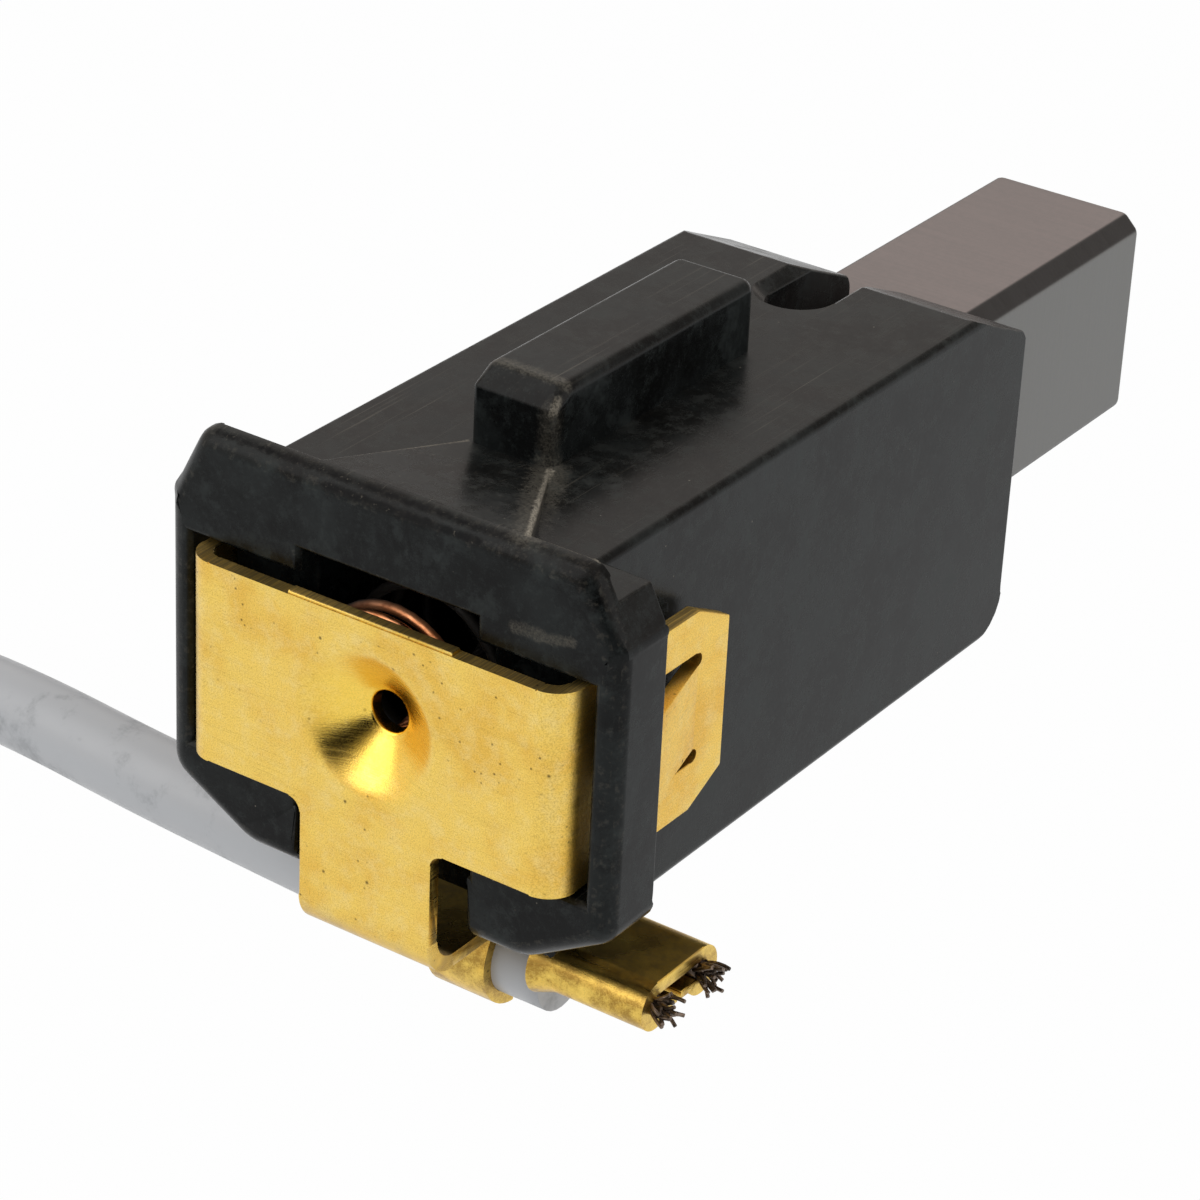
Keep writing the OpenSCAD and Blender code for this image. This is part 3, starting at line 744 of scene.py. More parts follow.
@dataclass(frozen=True)
class Studio:
    """Camera, lamps, world and floor."""

    eye_mm: Point = (62.74, -85.58, 60.77)
    right: Point = (0.8206, 0.5698, 0.0447)
    up: Point = (-0.2952, 0.3555, 0.8868)
    lens: float = 122.33
    shift: tuple[float, float] = (-0.0110, -0.0613)
    # Name, place and side in millimetres, and watts of each lamp.
    lamps: tuple[tuple[str, Point, float, float], ...] = (
        ("key lamp", (-300, -380, 420), 600, 1.5),
        ("rear lamp", (-260, 520, 380), 500, 0.2),
        ("side lamp", (560, 100, 260), 500, 0.6),
    )
    floor_mm: float = -88.6
    floor_half_m: float = 4.0
    card: str = "#e8e8e8"
    card_glow: float = 0.97
    white: str = "#ffffff"
    wall: str = "#fff3ea"
    # How brightly the surroundings light rough surfaces.
    fill: float = 0.62
    # Each dark corner of the room has a direction, the cosine at its rim and a depth. It is
    # darkest where the cosine is above corner_core.
    corner_core: float = 0.96
    dark_corners: tuple[tuple[Point, float, float], ...] = (
        ((0.46, -0.86, 0.2), 0.74, 1.0),
        ((-0.49, 0.86, 0.08), 0.9, 0.6),
        ((0.46, 0.74, 0.49), 0.86, 0.55),
    )

    def camera(self) -> Object:
        """Makes the camera."""
        data = bpy.data.cameras.new("camera")
        data.lens = self.lens
        data.sensor_width = 36
        data.shift_x, data.shift_y = self.shift
        data.clip_start, data.clip_end = 0.005, 10
        made = put("camera", data)
        right, up = Vector(self.right).normalized(), Vector(self.up)
        up = (up - right * up.dot(right)).normalized()
        turn = Matrix((right, up, right.cross(up))).transposed().to_4x4()
        made.matrix_world = Matrix.Translation(Vector(self.eye_mm) * MM) @ turn
        bpy.context.scene.camera = made
        return made

    def lamp(self, name: str, place_mm: Point, size_mm: float, watts: float) -> Object:
        """Makes one soft square lamp that points at the holder.

        Args:
            name: name of the lamp.
            place_mm: where it stands.
            size_mm: side of the lamp.
            watts: its power.

        Returns:
            The lamp.
        """
        data = bpy.data.lights.new(name, "AREA")
        data.size = size_mm * MM
        data.energy = watts
        made = put(name, data)
        made.location = Vector(place_mm) * MM
        made.rotation_mode = "QUATERNION"
        made.rotation_quaternion = (-made.location).to_track_quat("-Z", "Y")
        return made

    def seen(self, tree: NodeTree) -> Node:
        """Adds the mask that is 1 for camera, glossy and transmitted rays."""
        rays = add(tree, "ShaderNodeLightPath").outputs
        first = add(
            tree, MATH, [rays["Is Camera Ray"], rays["Is Glossy Ray"]], operation="MAXIMUM"
        )
        return add(tree, MATH, [first, rays["Is Transmission Ray"]], operation="MAXIMUM")

    def world(self) -> None:
        """Makes the white surroundings, with darker corners of the room in reflections."""
        made = bpy.data.worlds.new("white studio")
        tree = empty_tree(made)
        around = add(tree, "ShaderNodeTexCoord").outputs["Generated"]
        glow: Any = 1.0
        for direction, spread, depth in self.dark_corners:
            unit = tuple(Vector(direction).normalized())
            angle = add(tree, VECTOR, [around, unit], operation="DOT_PRODUCT")
            lit = add(
                tree,
                "ShaderNodeMapRange",
                [angle, spread, self.corner_core, 1.0, 1.0 - depth],
                interpolation_type="SMOOTHSTEP",
            )
            glow = add(tree, MATH, [glow, lit], operation="MULTIPLY")
        rays = add(tree, "ShaderNodeLightPath").outputs
        shown = add(tree, MIX, {0: rays["Is Camera Ray"], 2: glow, 3: 1.0}, data_type="FLOAT")
        strength = add(
            tree, MIX, {0: self.seen(tree), 2: self.fill, 3: shown}, data_type="FLOAT"
        )
        # Walls of the room give mirrored surfaces a slightly warm tone.
        tones = {0: rays["Is Glossy Ray"], 6: linear(self.white), 7: linear(self.wall)}
        tone = add(tree, MIX, tones, data_type="RGBA")
        sky = add(tree, "ShaderNodeBackground", {"Color": tone, "Strength": strength})
        add(tree, "ShaderNodeOutputWorld", {"Surface": sky})
        bpy.context.scene.world = made

    def floor(self) -> Object:
        """Makes the pale floor, which shows white and keeps a soft shadow."""
        bm = bmesh.new()
        bmesh.ops.create_grid(bm, x_segments=1, y_segments=1, size=self.floor_half_m)
        bmesh.ops.translate(bm, verts=bm.verts, vec=(0, 0, self.floor_mm * MM))
        mesh = mesh_from(bm, "floor")
        made = bpy.data.materials.new("white card")
        tree = empty_tree(made)
        matte = add(tree, "ShaderNodeBsdfDiffuse", {"Color": linear(self.card)})
        white = add(tree, "ShaderNodeEmission", {"Color": linear(self.white), "Strength": 1.0})
        share = add(tree, MATH, [self.seen(tree), self.card_glow], operation="MULTIPLY")
        both = add(tree, "ShaderNodeMixShader", [share, matte, white])
        add(tree, "ShaderNodeOutputMaterial", {"Surface": both})
        mesh.materials.append(made)
        piece = put("floor", mesh)
        return piece

    def build(self) -> None:
        """Builds the whole studio."""
        self.camera()
        for lamp in self.lamps:
            self.lamp(*lamp)
        self.world()
        self.floor()
        bpy.context.scene.view_settings.view_transform = "Standard"


# ---------- the lead and its receptacle ----------


@dataclass
class Lead:
    """Insulated lead from the cap's crimp down to the push-on receptacle."""

    mouth_mm: Point = (0.0, 1.9, -9.25)
    end_mm: float = 3.95
    diameter_mm: float = 2.8
    step_mm: float = 0.8
    sides: int = 28
    core_turns: float = 1.2
    clip_edge_mm: float = 0.05
    clip_shortest_mm: float = 0.5
    route_mm: tuple[Point, ...] = (
        (-4, 0.35, -0.05), (-9, 0.8, -0.2), (-14, 1.2, -0.25), (-19, 1.65, -0.25),
        (-23, 2, -0.5), (-27, 2.3, -1.3), (-31, 2.6, -3.2), (-34.5, 2.9, -6),
        (-37.2, 3.1, -9.5), (-38.9, 3.2, -13.6), (-39.7, 3.3, -18), (-40, 3.3, -23),
        (-40, 3.3, -29), (-40, 3.3, -36), (-40, 3.3, -43), (-40, 3.3, -50),
        (-40, 3.3, -57), (-40, 3.3, -64),
    )  # fmt: skip

    def centre_line(self) -> list[Vector]:
        """Gives the smooth centre line, from inside the crimp to the receptacle."""
        mouth = Vector(self.mouth_mm)
        points = [
            Vector((self.end_mm, mouth.y, mouth.z)),
            mouth + Vector((0.8, 0, 0)),
            *[mouth + Vector(p) for p in self.route_mm],
        ]
        return smooth_path(metres(points), self.step_mm * MM)

    def build(self, vinyl: Material, brass: Material, copper: Material) -> None:
        """Builds the lead with the pieces on its far end.

        Args:
            vinyl: finish of the insulation.
            brass: finish of the receptacle.
            copper: finish of the bare strands in the receptacle.
        """
        line = self.centre_line()
        mesh = tube_mesh("lead", line, self.diameter_mm / 2 * MM, self.sides)
        lead = new_piece("lead", mesh, vinyl, Slot.INSULATION, "lead_wire")
        bm = merged_copy("receptacle")
        soften(bm, self.clip_edge_mm, self.clip_shortest_mm)
        mesh = finished_mesh(bm, "receptacle_clip")
        clip = new_piece("receptacle_clip", mesh, brass, Slot.BRASS, "receptacle")
        low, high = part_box("receptacle_strands")
        top = Vector(((low.x + high.x) / 2, (low.y + high.y) / 2, high.z))
        path, radius_mm = [top, Vector((top.x, top.y, low.z))], (high.x - low.x) / 2 / MM
        rope = Rope("receptacle_core", path, radius_mm, self.core_turns).build(
            copper, Slot.STRANDS, "receptacle_strands"
        )
        tuple(Vector(self.mouth_mm) * MM)
        sum((b - a).length for a, b in zip(line, line[1:]))
        [tuple(p) for p in line]


@dataclass
class Rope:
    """Wires twisted together along a path, made with Geometry Nodes."""

    name: str
    path: list[Vector]
    radius_mm: float
    turns: float
    wires: int = 9
    steps: int = 60
    sides: int = 8
    heart_sides: int = 10

    def tree(self, finish: Material) -> NodeTree:
        """Builds the node tree: a ring of wire sections is swept along a twisted path.

        Args:
            finish: material of the wires.

        Returns:
            The tree.
        """
        kinds = {"Ring Radius": "Float", "Wire Radius": "Float", "Wires": "Int", "Turns": "Float"}
        tree, given = start_tree(self.name + " wires", kinds)
        curve = add(tree, "GeometryNodeMeshToCurve", [given["Base"]])
        closer = add(tree, "GeometryNodeResampleCurve", {"Curve": curve, "Count": self.steps})
        along = add(tree, "GeometryNodeSplineParameter")
        full = add(tree, MATH, [given["Turns"], 2 * math.pi], operation="MULTIPLY")
        twist = add(tree, MATH, [along, full], operation="MULTIPLY")
        tilted = add(tree, "GeometryNodeSetCurveTilt", {"Curve": closer, "Tilt": twist})
        radius, count = given["Ring Radius"], given["Wires"]
        ring = add(tree, "GeometryNodeMeshCircle", {"Vertices": count, "Radius": radius})
        section, heart = [
            add(tree, CIRCLE, {"Resolution": sides, "Radius": size})
            for sides, size in ((self.sides, given["Wire Radius"]), (self.heart_sides, radius))
        ]
        spread = add(tree, "GeometryNodeInstanceOnPoints", {"Points": ring, "Instance": section})
        sections = add(tree, "GeometryNodeRealizeInstances", [spread])
        joined = add(tree, "GeometryNodeJoinGeometry", [sections])
        tree.links.new(heart.outputs[0], joined.inputs[0])
        swept = add(tree, SWEEP, {"Curve": tilted, "Profile Curve": joined, "Fill Caps": True})
        return finish_tree(tree, swept, finish)

    def build(self, finish: Material, slot: Slot, node: str) -> Object:
        """Builds the rope as a piece on the housing.

        Args:
            finish: material of the wires.
            slot: record slot of the wires.
            node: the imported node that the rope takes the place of.

        Returns:
            The piece.
        """
        mesh = bpy.data.meshes.new(self.name + "_path")
        mesh.from_pydata(self.path, [(i, i + 1) for i in range(len(self.path) - 1)], [])
        # Wires on a ring fill the rope: its radius is r + r / sin(180 / wires).
        wire = self.radius_mm * MM / (1 + 1 / math.sin(math.pi / self.wires))
        sizes = {
            "Ring Radius": self.radius_mm * MM - wire,
            "Wire Radius": wire,
            "Wires": self.wires,
            "Turns": self.turns,
        }
        grown = grow(self.name, mesh, self.tree(finish), sizes)
        return new_piece(self.name, grown, finish, slot, node)


def start_tree(name: str, numbers: dict[str, str]) -> tuple[NodeTree, Any]:
    """Starts a geometry tree that takes a mesh and some numbers.

    Args:
        name: name of the tree.
        numbers: "Float" or "Int" for the name of each number.

    Returns:
        The tree and the sockets of its inputs, by name.
    """
    tree = bpy.data.node_groups.new(name, "GeometryNodeTree")
    for label, kind in {"Base": "Geometry", **numbers}.items():
        tree.interface.new_socket(label, in_out="INPUT", socket_type="NodeSocket" + kind)
    tree.interface.new_socket("Made", in_out="OUTPUT", socket_type="NodeSocketGeometry")
    return tree, add(tree, "NodeGroupInput").outputs


def finish_tree(tree: NodeTree, made: Node, finish: Material) -> NodeTree:
    """Ends a geometry tree with smooth shading, real instances and the material.

    Args:
        tree: the tree.
        made: the node that makes the geometry.
        finish: the material.

    Returns:
        The tree.
    """
    smooth = add(tree, "GeometryNodeSetShadeSmooth", [made])
    real = add(tree, "GeometryNodeRealizeInstances", [smooth])
    dressed = add(tree, "GeometryNodeSetMaterial", {0: real, "Material": finish})
    add(tree, "NodeGroupOutput", [dressed])
    return tree


def grow(name: str, base: Mesh, tree: NodeTree, values: dict[str, Any]) -> Mesh:
    """Runs a geometry tree on a mesh and returns the result as a plain mesh.

    Args:
        name: name of the new mesh.
        base: mesh that the tree starts from.
        tree: the tree.
        values: the tree's named inputs.

    Returns:
        A plain mesh with outward normals.
    """
    carrier = put(name + "_grow", base)
    modifier = carrier.modifiers.new("grow", "NODES")
    modifier.node_group = tree
    for item in tree.interface.items_tree:
        if item.in_out == "INPUT" and item.name in values:
            modifier[item.identifier] = values[item.name]
    bpy.context.view_layer.update()
    graph = bpy.context.evaluated_depsgraph_get()
    mesh = bpy.data.meshes.new_from_object(carrier.evaluated_get(graph))
    bpy.data.objects.remove(carrier)
    mesh.name = name
    bm = bmesh.new()
    bm.from_mesh(mesh)
    bmesh.ops.remove_doubles(bm, verts=bm.verts, dist=SAME_WIRE_MM * MM)
    bmesh.ops.recalc_face_normals(bm, faces=bm.faces)
    bm.to_mesh(mesh)
    bm.free()
    return mesh


# ---------- the holder ----------


@dataclass
class Holder:
    """The moulded guide body with its flange and key rib."""

    edge_mm: float = 0.09
    shortest_mm: float = 0.5
    flange_edge_mm: float = 0.22
    flange_shortest_mm: float = 0.1
    front_mm: float = -1.95
    sharp_deg: float = 21

    def build(self, finish: Material) -> None:
        """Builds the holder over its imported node.

        Args:
            finish: the moulding's finish.
        """
        bm = merged_copy("holder")
        front = self.front_mm * MM
        soften(bm, self.flange_edge_mm, self.flange_shortest_mm, lambda at: at.y < front)
        soften(bm, self.edge_mm, self.shortest_mm, lambda at: at.y > front)
        mesh = finished_mesh(bm, "guide_body", self.sharp_deg)
        new_piece("guide_body", mesh, finish, Slot.PLASTIC, "holder")


# ---------- the terminal cap ----------


@dataclass
class TerminalCap:
    """The folded brass cap: plate with its dimple, arms, tongue and crimps."""

    edge_mm: float = 0.05
    shortest_mm: float = 0.45
    plate_z_mm: float = 0.225
    plate_front_mm: float = -3.2
    rim_mm: float = 2.86
    funnel_end_mm: float = -1.2
    weld_mm: float = 0.004
    level_mm: float = 0.01
    segments: int = 64
    # Radius and depth along the pressed funnel, front and back, and the rings' spacing.
    steps_mm: Span = (0.14, 0.2)
    front_mm: tuple[Span, ...] = (
        (2.7, 0.0), (2.6, 0.006), (2.45, 0.03), (2.25, 0.12), (2.05, 0.245), (1.6, 0.55),
        (1.1, 0.89), (0.84, 1.065), (0.72, 1.13), (0.675, 1.2),
    )  # fmt: skip
    back_mm: tuple[Span, ...] = (
        (2.4, 0.5), (2.3, 0.52), (2.1, 0.62), (1.5, 1.07), (1.0, 1.4), (0.78, 1.58),
        (0.675, 1.6),
    )  # fmt: skip

    def ring(self, bm: bmesh.types.BMesh, radius: float, depth: float) -> list[Any]:
        """Adds one ring of the funnel and returns its corners."""
        y = self.plate_front_mm + depth
        corners = [
            (radius * math.cos(a), y, self.plate_z_mm + radius * math.sin(a))
            for a in turn_angles(self.segments)
        ]
        return [bm.verts.new(corner) for corner in metres(corners)]

    def press_dimple(self, bm: bmesh.types.BMesh) -> None:
        """Replaces the plate's stepped funnel with a smooth one, joined to the sheet."""
        rim = self.rim_mm * MM

        def inside(vert: Any) -> bool:
            """Says whether a corner belongs to the funnel."""
            return (
                math.hypot(vert.co.x, vert.co.z - self.plate_z_mm * MM) < rim
                and vert.co.y < self.funnel_end_mm * MM
            )

        gone = [f for f in bm.faces if all(inside(v) for v in f.verts)]
        bmesh.ops.delete(bm, geom=gone, context="FACES")
        front, back = [
            smooth_path([Vector((r, d, 0)) for r, d in side], step)
            for side, step in zip((self.front_mm, self.back_mm), self.steps_mm)
        ]
        rings = [self.ring(bm, p.x, max(p.y, 0.0)) for p in [*front, *reversed(back)]]
        for outer, inner in zip(rings, rings[1:]):
            for k in range(self.segments):
                n = (k + 1) % self.segments
                bm.faces.new((outer[k], outer[n], inner[n], inner[k]))
        bmesh.ops.remove_doubles(bm, verts=bm.verts, dist=self.weld_mm * MM)
        for ring in (rings[0], rings[-1]):
            depth = ring[0].co.y
            border = [
                e
                for e in bm.edges
                if e.is_boundary
                and all(inside(v) and abs(v.co.y - depth) < self.level_mm * MM for v in e.verts)
            ]
            bmesh.ops.bridge_loops(bm, edges=border)
        bmesh.ops.recalc_face_normals(bm, faces=bm.faces)

    def build(self, finish: Material) -> None:
        """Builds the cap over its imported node.

        Args:
            finish: the sheet's finish.
        """
        bm = merged_copy("terminal_cap")
        self.press_dimple(bm)
        soften(bm, self.edge_mm, self.shortest_mm)
        log.info("cap: %d open edges", sum(not e.is_manifold for e in bm.edges))
        mesh = finished_mesh(bm, "brass_cap")
        new_piece("brass_cap", mesh, finish, Slot.BRASS, "terminal_cap")


# ---------- carbon, spring and shunt ----------


@dataclass
class CarbonBlock:
    """The sliding carbon block."""

    edge_mm: float = 0.12
    shortest_mm: float = 0.3
    sharp_deg: float = 60

    def build(self, finish: Material) -> None:
        """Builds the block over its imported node.

        Args:
            finish: the carbon's finish.
        """
        bm = merged_copy("carbon_brush")
        soften(bm, self.edge_mm, self.shortest_mm)
        mesh = finished_mesh(bm, "carbon_block", self.sharp_deg)
        new_piece("carbon_block", mesh, finish, Slot.CARBON, "carbon_brush", Body.BRUSH)


@dataclass
class SpringPack:
    """The coil spring behind the carbon and the shunt inside it."""

    wire_mm: float = 0.35
    radius_mm: float = 2.975
    turns: int = 8
    axis_z_mm: float = 0.525
    foot_mm: float = -2.7
    root_mm: float = 8.4
    travel_mm: float = 7.5
    steps_per_turn: int = 36
    flat_turn: float = 1.05
    shunt_start_mm: float = -1.45
    shunt_d_mm: float = 1.0
    shunt_bow_mm: float = 0.5
    shunt_side_mm: float = 1.325
    shunt_tail_mm: float = 0.2
    shunt_steps: int = 14
    shunt_turns: float = 3.5
    shunt_wires: int = 8
    plate_z_mm: float = 0.225

    def tree(self, finish: Material) -> NodeTree:
        """Builds the coil's node tree: a line of points wound round the axis and swept.

        Args:
            finish: material of the wire.

        Returns:
            The tree.
        """
        numbers = ("Radius", "Wire Radius", "Length", "Turns", "Closed Share")
        tree, given = start_tree("coil spring", dict.fromkeys(numbers, "Float"))
        line = add(tree, "GeometryNodeCurvePrimitiveLine")
        count = self.turns * self.steps_per_turn + 1
        points = add(tree, "GeometryNodeResampleCurve", {"Curve": line, "Count": count})
        share = add(tree, "GeometryNodeSplineParameter")
        full = add(tree, MATH, [given["Turns"], 2 * math.pi], operation="MULTIPLY")
        angle = add(tree, MATH, [share, full], operation="MULTIPLY")
        # The first and last turn lie nearly flat; the pitch between them is even.
        closed = given["Closed Share"]
        one_turn = add(tree, MATH, [1.0, given["Turns"]], operation="DIVIDE")
        last_turn = add(tree, MATH, [1.0, one_turn], operation="SUBTRACT")
        far_rest = add(tree, MATH, [1.0, closed], operation="SUBTRACT")
        low, middle, top = [
            add(tree, "ShaderNodeMapRange", [share, *ends])
            for ends in (
                (0.0, one_turn, 0.0, closed),
                (one_turn, last_turn, closed, far_rest),
                (last_turn, 1.0, far_rest, 1.0),
            )
        ]
        in_first = add(tree, MATH, [share, one_turn], operation="LESS_THAN")
        in_last = add(tree, MATH, [share, last_turn], operation="GREATER_THAN")
        early = add(tree, MIX, {0: in_first, 2: middle, 3: low}, data_type="FLOAT")
        rise = add(tree, MIX, {0: in_last, 2: early, 3: top}, data_type="FLOAT")
        waves = [add(tree, MATH, [angle], operation=wave) for wave in ("COSINE", "SINE")]
        across, upward, depth = [
            add(tree, MATH, pair, operation="MULTIPLY")
            for pair in (*[(wave, given["Radius"]) for wave in waves], (rise, given["Length"]))
        ]
        place = add(tree, JOIN_XYZ, [across, depth, upward])
        wound = add(tree, "GeometryNodeSetPosition", {"Geometry": points, "Position": place})
        section = add(tree, CIRCLE, {"Resolution": 12, "Radius": given["Wire Radius"]})
        swept = add(tree, SWEEP, {"Curve": wound, "Profile Curve": section, "Fill Caps": True})
        return finish_tree(tree, swept, finish)

    def shorten(self, piece: Object, start_mm: float) -> None:
        """Gives a piece its own copy of its mesh."""
        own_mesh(piece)

    def spring(self, finish: Material) -> Object:
        """Builds the coil spring."""
        length = self.root_mm - self.foot_mm - self.wire_mm
        mesh = grow(
            "coil_spring",
            bpy.data.meshes.new("coil_start"),
            self.tree(finish),
            {
                "Radius": self.radius_mm * MM,
                "Wire Radius": self.wire_mm / 2 * MM,
                "Length": length * MM,
                "Turns": float(self.turns),
                "Closed Share": self.wire_mm * self.flat_turn / length,
            },
        )
        lift = Vector((0, self.foot_mm + self.wire_mm / 2, self.axis_z_mm)) * MM
        mesh.transform(Matrix.Translation(lift))
        piece = new_piece("coil_spring", mesh, finish, Slot.SPRING, "spring")
        self.shorten(piece, self.foot_mm)
        return piece

    def shunt(self, finish: Material) -> Object:
        """Builds the braided shunt from the dimple to the carbon's root."""
        tail = self.shunt_tail_mm
        span = self.root_mm - self.shunt_start_mm - 2 * tail
        path = []
        for i in range(self.shunt_steps + 1):
            t = i / self.shunt_steps
            swell = self.shunt_bow_mm * math.sin(math.pi * t)
            path.append(
                (
                    swell * math.sin(2 * math.pi * t),
                    self.shunt_start_mm + tail + span * t,
                    self.plate_z_mm
                    - self.shunt_side_mm * (1 - t) ** 2
                    + swell * math.sin(math.pi * t),
                )
            )
        first, last = path[0], path[-1]
        path = [(first[0], self.shunt_start_mm, first[2]), *path, (last[0], self.root_mm, last[2])]
        rope = Rope(
            "shunt_braid", metres(path), self.shunt_d_mm / 2, self.shunt_turns, self.shunt_wires
        )
        piece = rope.build(finish, Slot.BRAID, "shunt")
        self.shorten(piece, self.shunt_start_mm)
        return piece

    def build(self, wire: Material, braid: Material) -> None:
        """Builds both pieces."""
        self.spring(wire)
        self.shunt(braid)


# ---------- the crimped strands ----------


@dataclass
class FrayedStrands:
    """The lead's bare strands: packed in the crimp and frayed beyond its end."""

    crimp_x_mm: float = 4.1
    crimp_end_mm: float = 8.2
    root_mm: float = 3.95
    centre_y_mm: float = 1.9
    centre_z_mm: float = -8.175
    lobe_mm: float = 1.225
    lobe_r_mm: float = 0.325
    wire_mm: float = 0.13
    reach_mm: float = 1.2
    density: float = 1.5e8
    spread: float = 0.55
    # A wire end bends at knee and by bend, as shares of its reach. It leans and turns by at
    # most lean, in radians, and the shortest one has the share least of the full length.
    knee: float = 0.55
    bend: float = 0.16
    lean: Point = (1.0, 1.0, 3.14)
    least: float = 0.45
    disc_depth_mm: float = 0.25
    disc_share: float = 0.8
    core_gap_mm: float = 0.05

    def tree(self, finish: Material) -> NodeTree:
        """Builds the node tree that grows bent wire ends out of small discs.

        Args:
            finish: material of the wires.

        Returns:
            The tree.
        """
        numbers = ("Density", "Reach", "Wire Radius", "Spread")
        tree, given = start_tree("frayed wires", dict.fromkeys(numbers, "Float"))
        sites = add(
            tree,
            "GeometryNodeDistributePointsOnFaces",
            {"Mesh": given["Base"], "Density": given["Density"], "Seed": 7},
        )
        # Each wire end leaves straight, then bends to one side on its way to the tip.
        tip = add(tree, JOIN_XYZ, {2: given["Reach"]})
        side, rise = [
            add(tree, MATH, [given["Reach"], share], operation="MULTIPLY")
            for share in (self.bend, self.knee)
        ]
        elbow = add(tree, JOIN_XYZ, {0: side, 2: rise})
        ends = {"Resolution": 5, "Start": (0, 0, 0), "Middle": elbow, "End": tip}
        wire = add(tree, "GeometryNodeCurveQuadraticBezier", ends)
        section = add(tree, CIRCLE, {"Resolution": 7, "Radius": given["Wire Radius"]})
        drawn = add(tree, SWEEP, {"Curve": wire, "Profile Curve": section, "Fill Caps": True})
        lean = add(
            tree,
            "FunctionNodeRandomValue",
            {"Min": [-most for most in self.lean], "Max": self.lean, "Seed": 3},
            data_type="FLOAT_VECTOR",
        )
        flat = add(tree, JOIN_XYZ, [given["Spread"], given["Spread"], 1.0])
        turn = add(tree, VECTOR, [lean, flat], operation="MULTIPLY")
        along_x = add(tree, "FunctionNodeEulerToRotation", [(0.0, math.pi / 2, 0.0)])
        own = add(tree, "FunctionNodeEulerToRotation", [turn])
        both = add(tree, "FunctionNodeRotateRotation", [along_x, own], rotation_space="LOCAL")
        lengths = add(
            tree, "FunctionNodeRandomValue", {2: self.least, 3: 1.0, "Seed": 11}, data_type="FLOAT"
        )
        scale = add(tree, JOIN_XYZ, [1.0, 1.0, lengths])
        placed = add(
            tree,
            "GeometryNodeInstanceOnPoints",
            {"Points": sites, "Instance": drawn, "Rotation": both, "Scale": scale},
        )
        return finish_tree(tree, placed, finish)

    def discs(self) -> Mesh:
        """Makes the two discs, one in each lobe, that the wire ends grow from."""
        bm = bmesh.new()
        turn = Matrix.Rotation(math.pi / 2, 4, "Y")
        x = self.crimp_end_mm - self.disc_depth_mm
        for side in (-1, 1):
            place = Vector((x, self.centre_y_mm + side * self.lobe_mm, self.centre_z_mm))
            bmesh.ops.create_circle(
                bm,
                cap_ends=True,
                segments=16,
                radius=self.lobe_r_mm * self.disc_share * MM,
                matrix=Matrix.Translation(place * MM) @ turn,
            )
        return mesh_from(bm, "strand_discs")

    def core(self) -> Mesh:
        """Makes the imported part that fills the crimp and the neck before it."""
        bm = bmesh.new()
        lobe_end = self.crimp_end_mm - self.core_gap_mm
        for start, end, side in (
            (self.root_mm, self.crimp_x_mm, 0),
            (self.crimp_x_mm, lobe_end, -1),
            (self.crimp_x_mm, lobe_end, 1),
        ):
            y = self.centre_y_mm + side * self.lobe_mm
            path = metres([(x, y, self.centre_z_mm) for x in (start, end)])
            bm.from_mesh(tube_mesh("packed_run", path, self.lobe_r_mm * MM, 16))
        return mesh_from(bm, "packed_core")

    def build(self, finish: Material) -> None:
        """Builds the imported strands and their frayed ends.

        Args:
            finish: finish of the copper.
        """
        ends = grow(
            "frayed_ends",
            self.discs(),
            self.tree(finish),
            {
                "Density": self.density,
                "Reach": self.reach_mm * MM,
                "Wire Radius": self.wire_mm / 2 * MM,
                "Spread": self.spread,
            },
        )
        new_piece("frayed_ends", ends, finish, Slot.STRANDS)
        new_piece("packed_core", self.core(), finish, Slot.STRANDS, "crimped_strands")


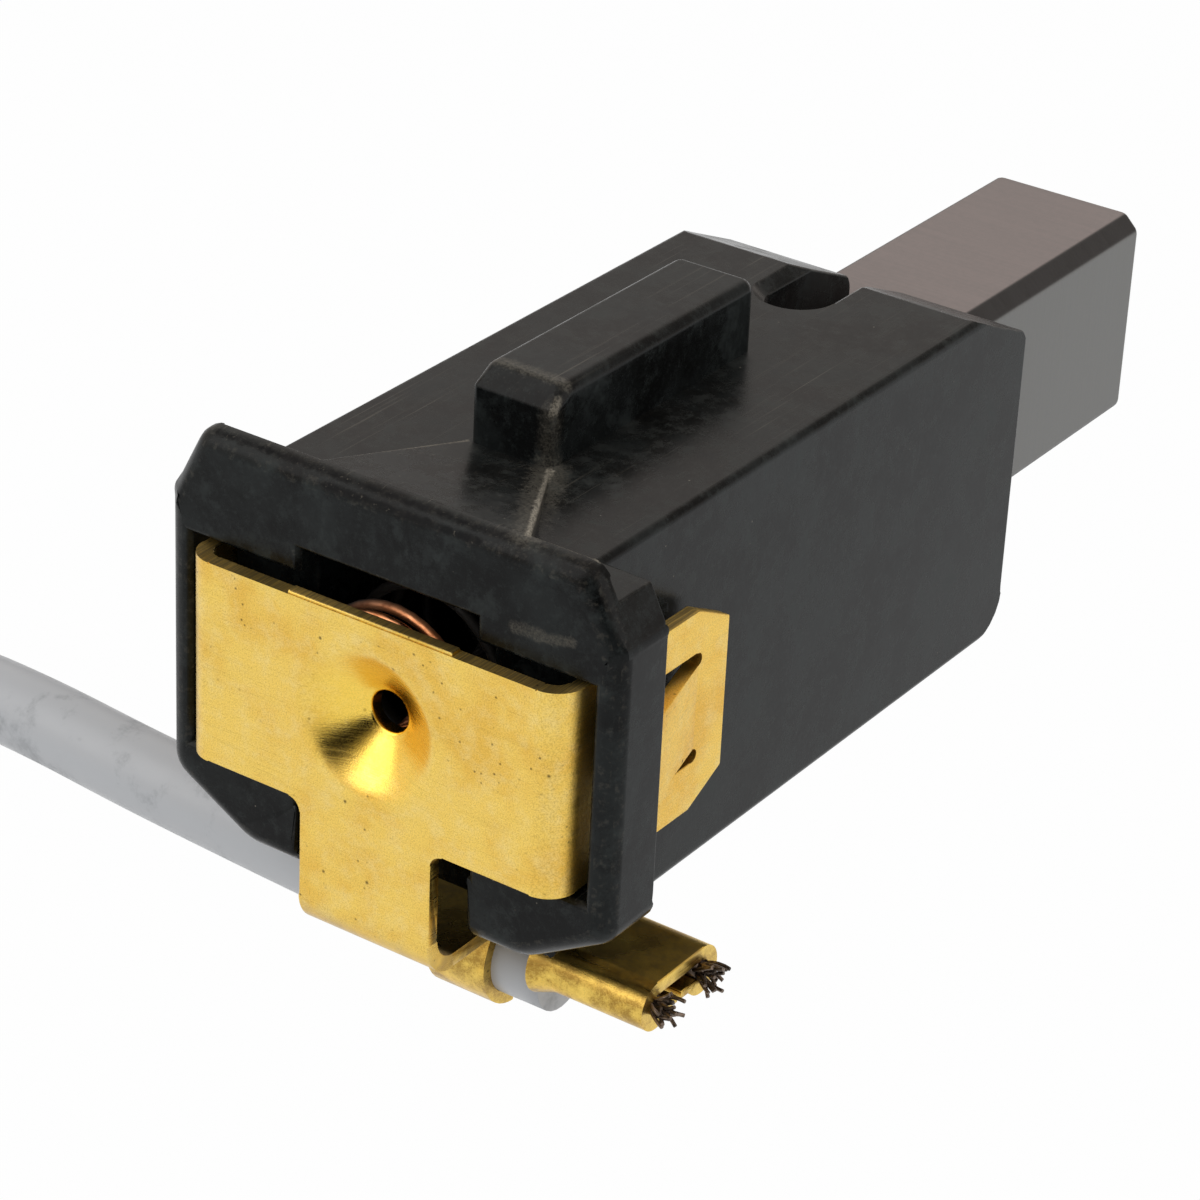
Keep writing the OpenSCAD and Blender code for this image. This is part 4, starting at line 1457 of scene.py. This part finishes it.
def main() -> None:
    """Builds the studio and every piece, in order."""
    logging.basicConfig(level=logging.INFO, format="%(name)s: %(message)s")
    Studio().build()
    plastic = MouldedThermoset(
        scuffs=(
            # The lip's front edge is chipped along its whole length.
            Scuff((-6.6, -2.1, 7.45), (4.6, -2.1, 7.45), 0.34, 0.95, chipped=True),
            Scuff((-2.4, -2.35, 7.1), (3.2, -2.35, 7.1), 0.3, 0.8, chipped=True),
            # The rib's near right edge and the ramp's crease below it are rubbed pale.
            Scuff((1.3, 4.2, 8.5), (1.3, 3.85, 8.1), 0.45, 0.6),
            Scuff((1.3, 3.85, 8.3), (1.33, 3.8, 6.4), 0.26, 0.6),
            Scuff((1.36, 3.8, 6.4), (2.9, 1.1, 6.9), 0.3, 0.8),
            Scuff((2.9, 1.1, 6.9), (4.48, -1.6, 7.45), 0.34, 1.0),
            Scuff((1.3, 3.85, 8.3), (1.36, 3.8, 6.4), 1.0, 0.14),
            Scuff((1.36, 3.8, 6.4), (4.48, -1.6, 7.45), 1.2, 0.22),
            Scuff((-1.6, 4.8, 8.82), (1.2, 4.8, 8.82), 0.5, 0.22),
            Scuff((-1.72, 3.8, 6.42), (-3.05, -1.6, 7.45), 0.16, 0.55),
            Scuff((-1.72, 4.7, 8.85), (-1.72, 14.5, 8.85), 0.2, 0.2),
            Scuff((4.8, -1.6, 7.45), (7.4, -1.6, 7.45), 0.16, 0.7),
            # Something hard has rubbed across the flange's front.
            Scuff((4.6, -2.4, 4.85), (5.5, -2.4, 4.95), 0.42, 0.16),
            Scuff((5.4, -2.4, 4.8), (6.6, -2.4, 5.05), 0.36, 0.18),
        )
    ).build()
    brass = SheetBrass().build()
    carbon = PressedCarbon().build()
    # The spring and the braid darken deeper in the holder: painted shade, with some carbon dust.
    bronze = DrawnWire(
        name="drawn phosphor bronze",
        metal="#d9976b",
        tarnish="#a8683f",
        unshaded_to_mm=-2.0,
        shade_soot_from_mm=-1.6,
    ).build()
    braid = DrawnWire(
        name="braided copper",
        metal="#9a6344",
        tarnish="#5a3826",
        unshaded_to_mm=-1.5,
        shade_soot_from_mm=0.0,
    ).build()
    dull = DrawnWire(
        name="tarnished copper strands",
        metal="#7d6f63",
        tarnish="#2b2724",
        roughness=0.42,
        patch_mm=0.3,
    ).build()
    vinyl = ExtrudedVinyl().build()
    Lead().build(vinyl, brass, dull)
    Holder().build(plastic)
    TerminalCap().build(brass)
    CarbonBlock().build(carbon)
    SpringPack().build(bronze, braid)
    FrayedStrands().build(dull)


if __name__ == "__main__":
    main()
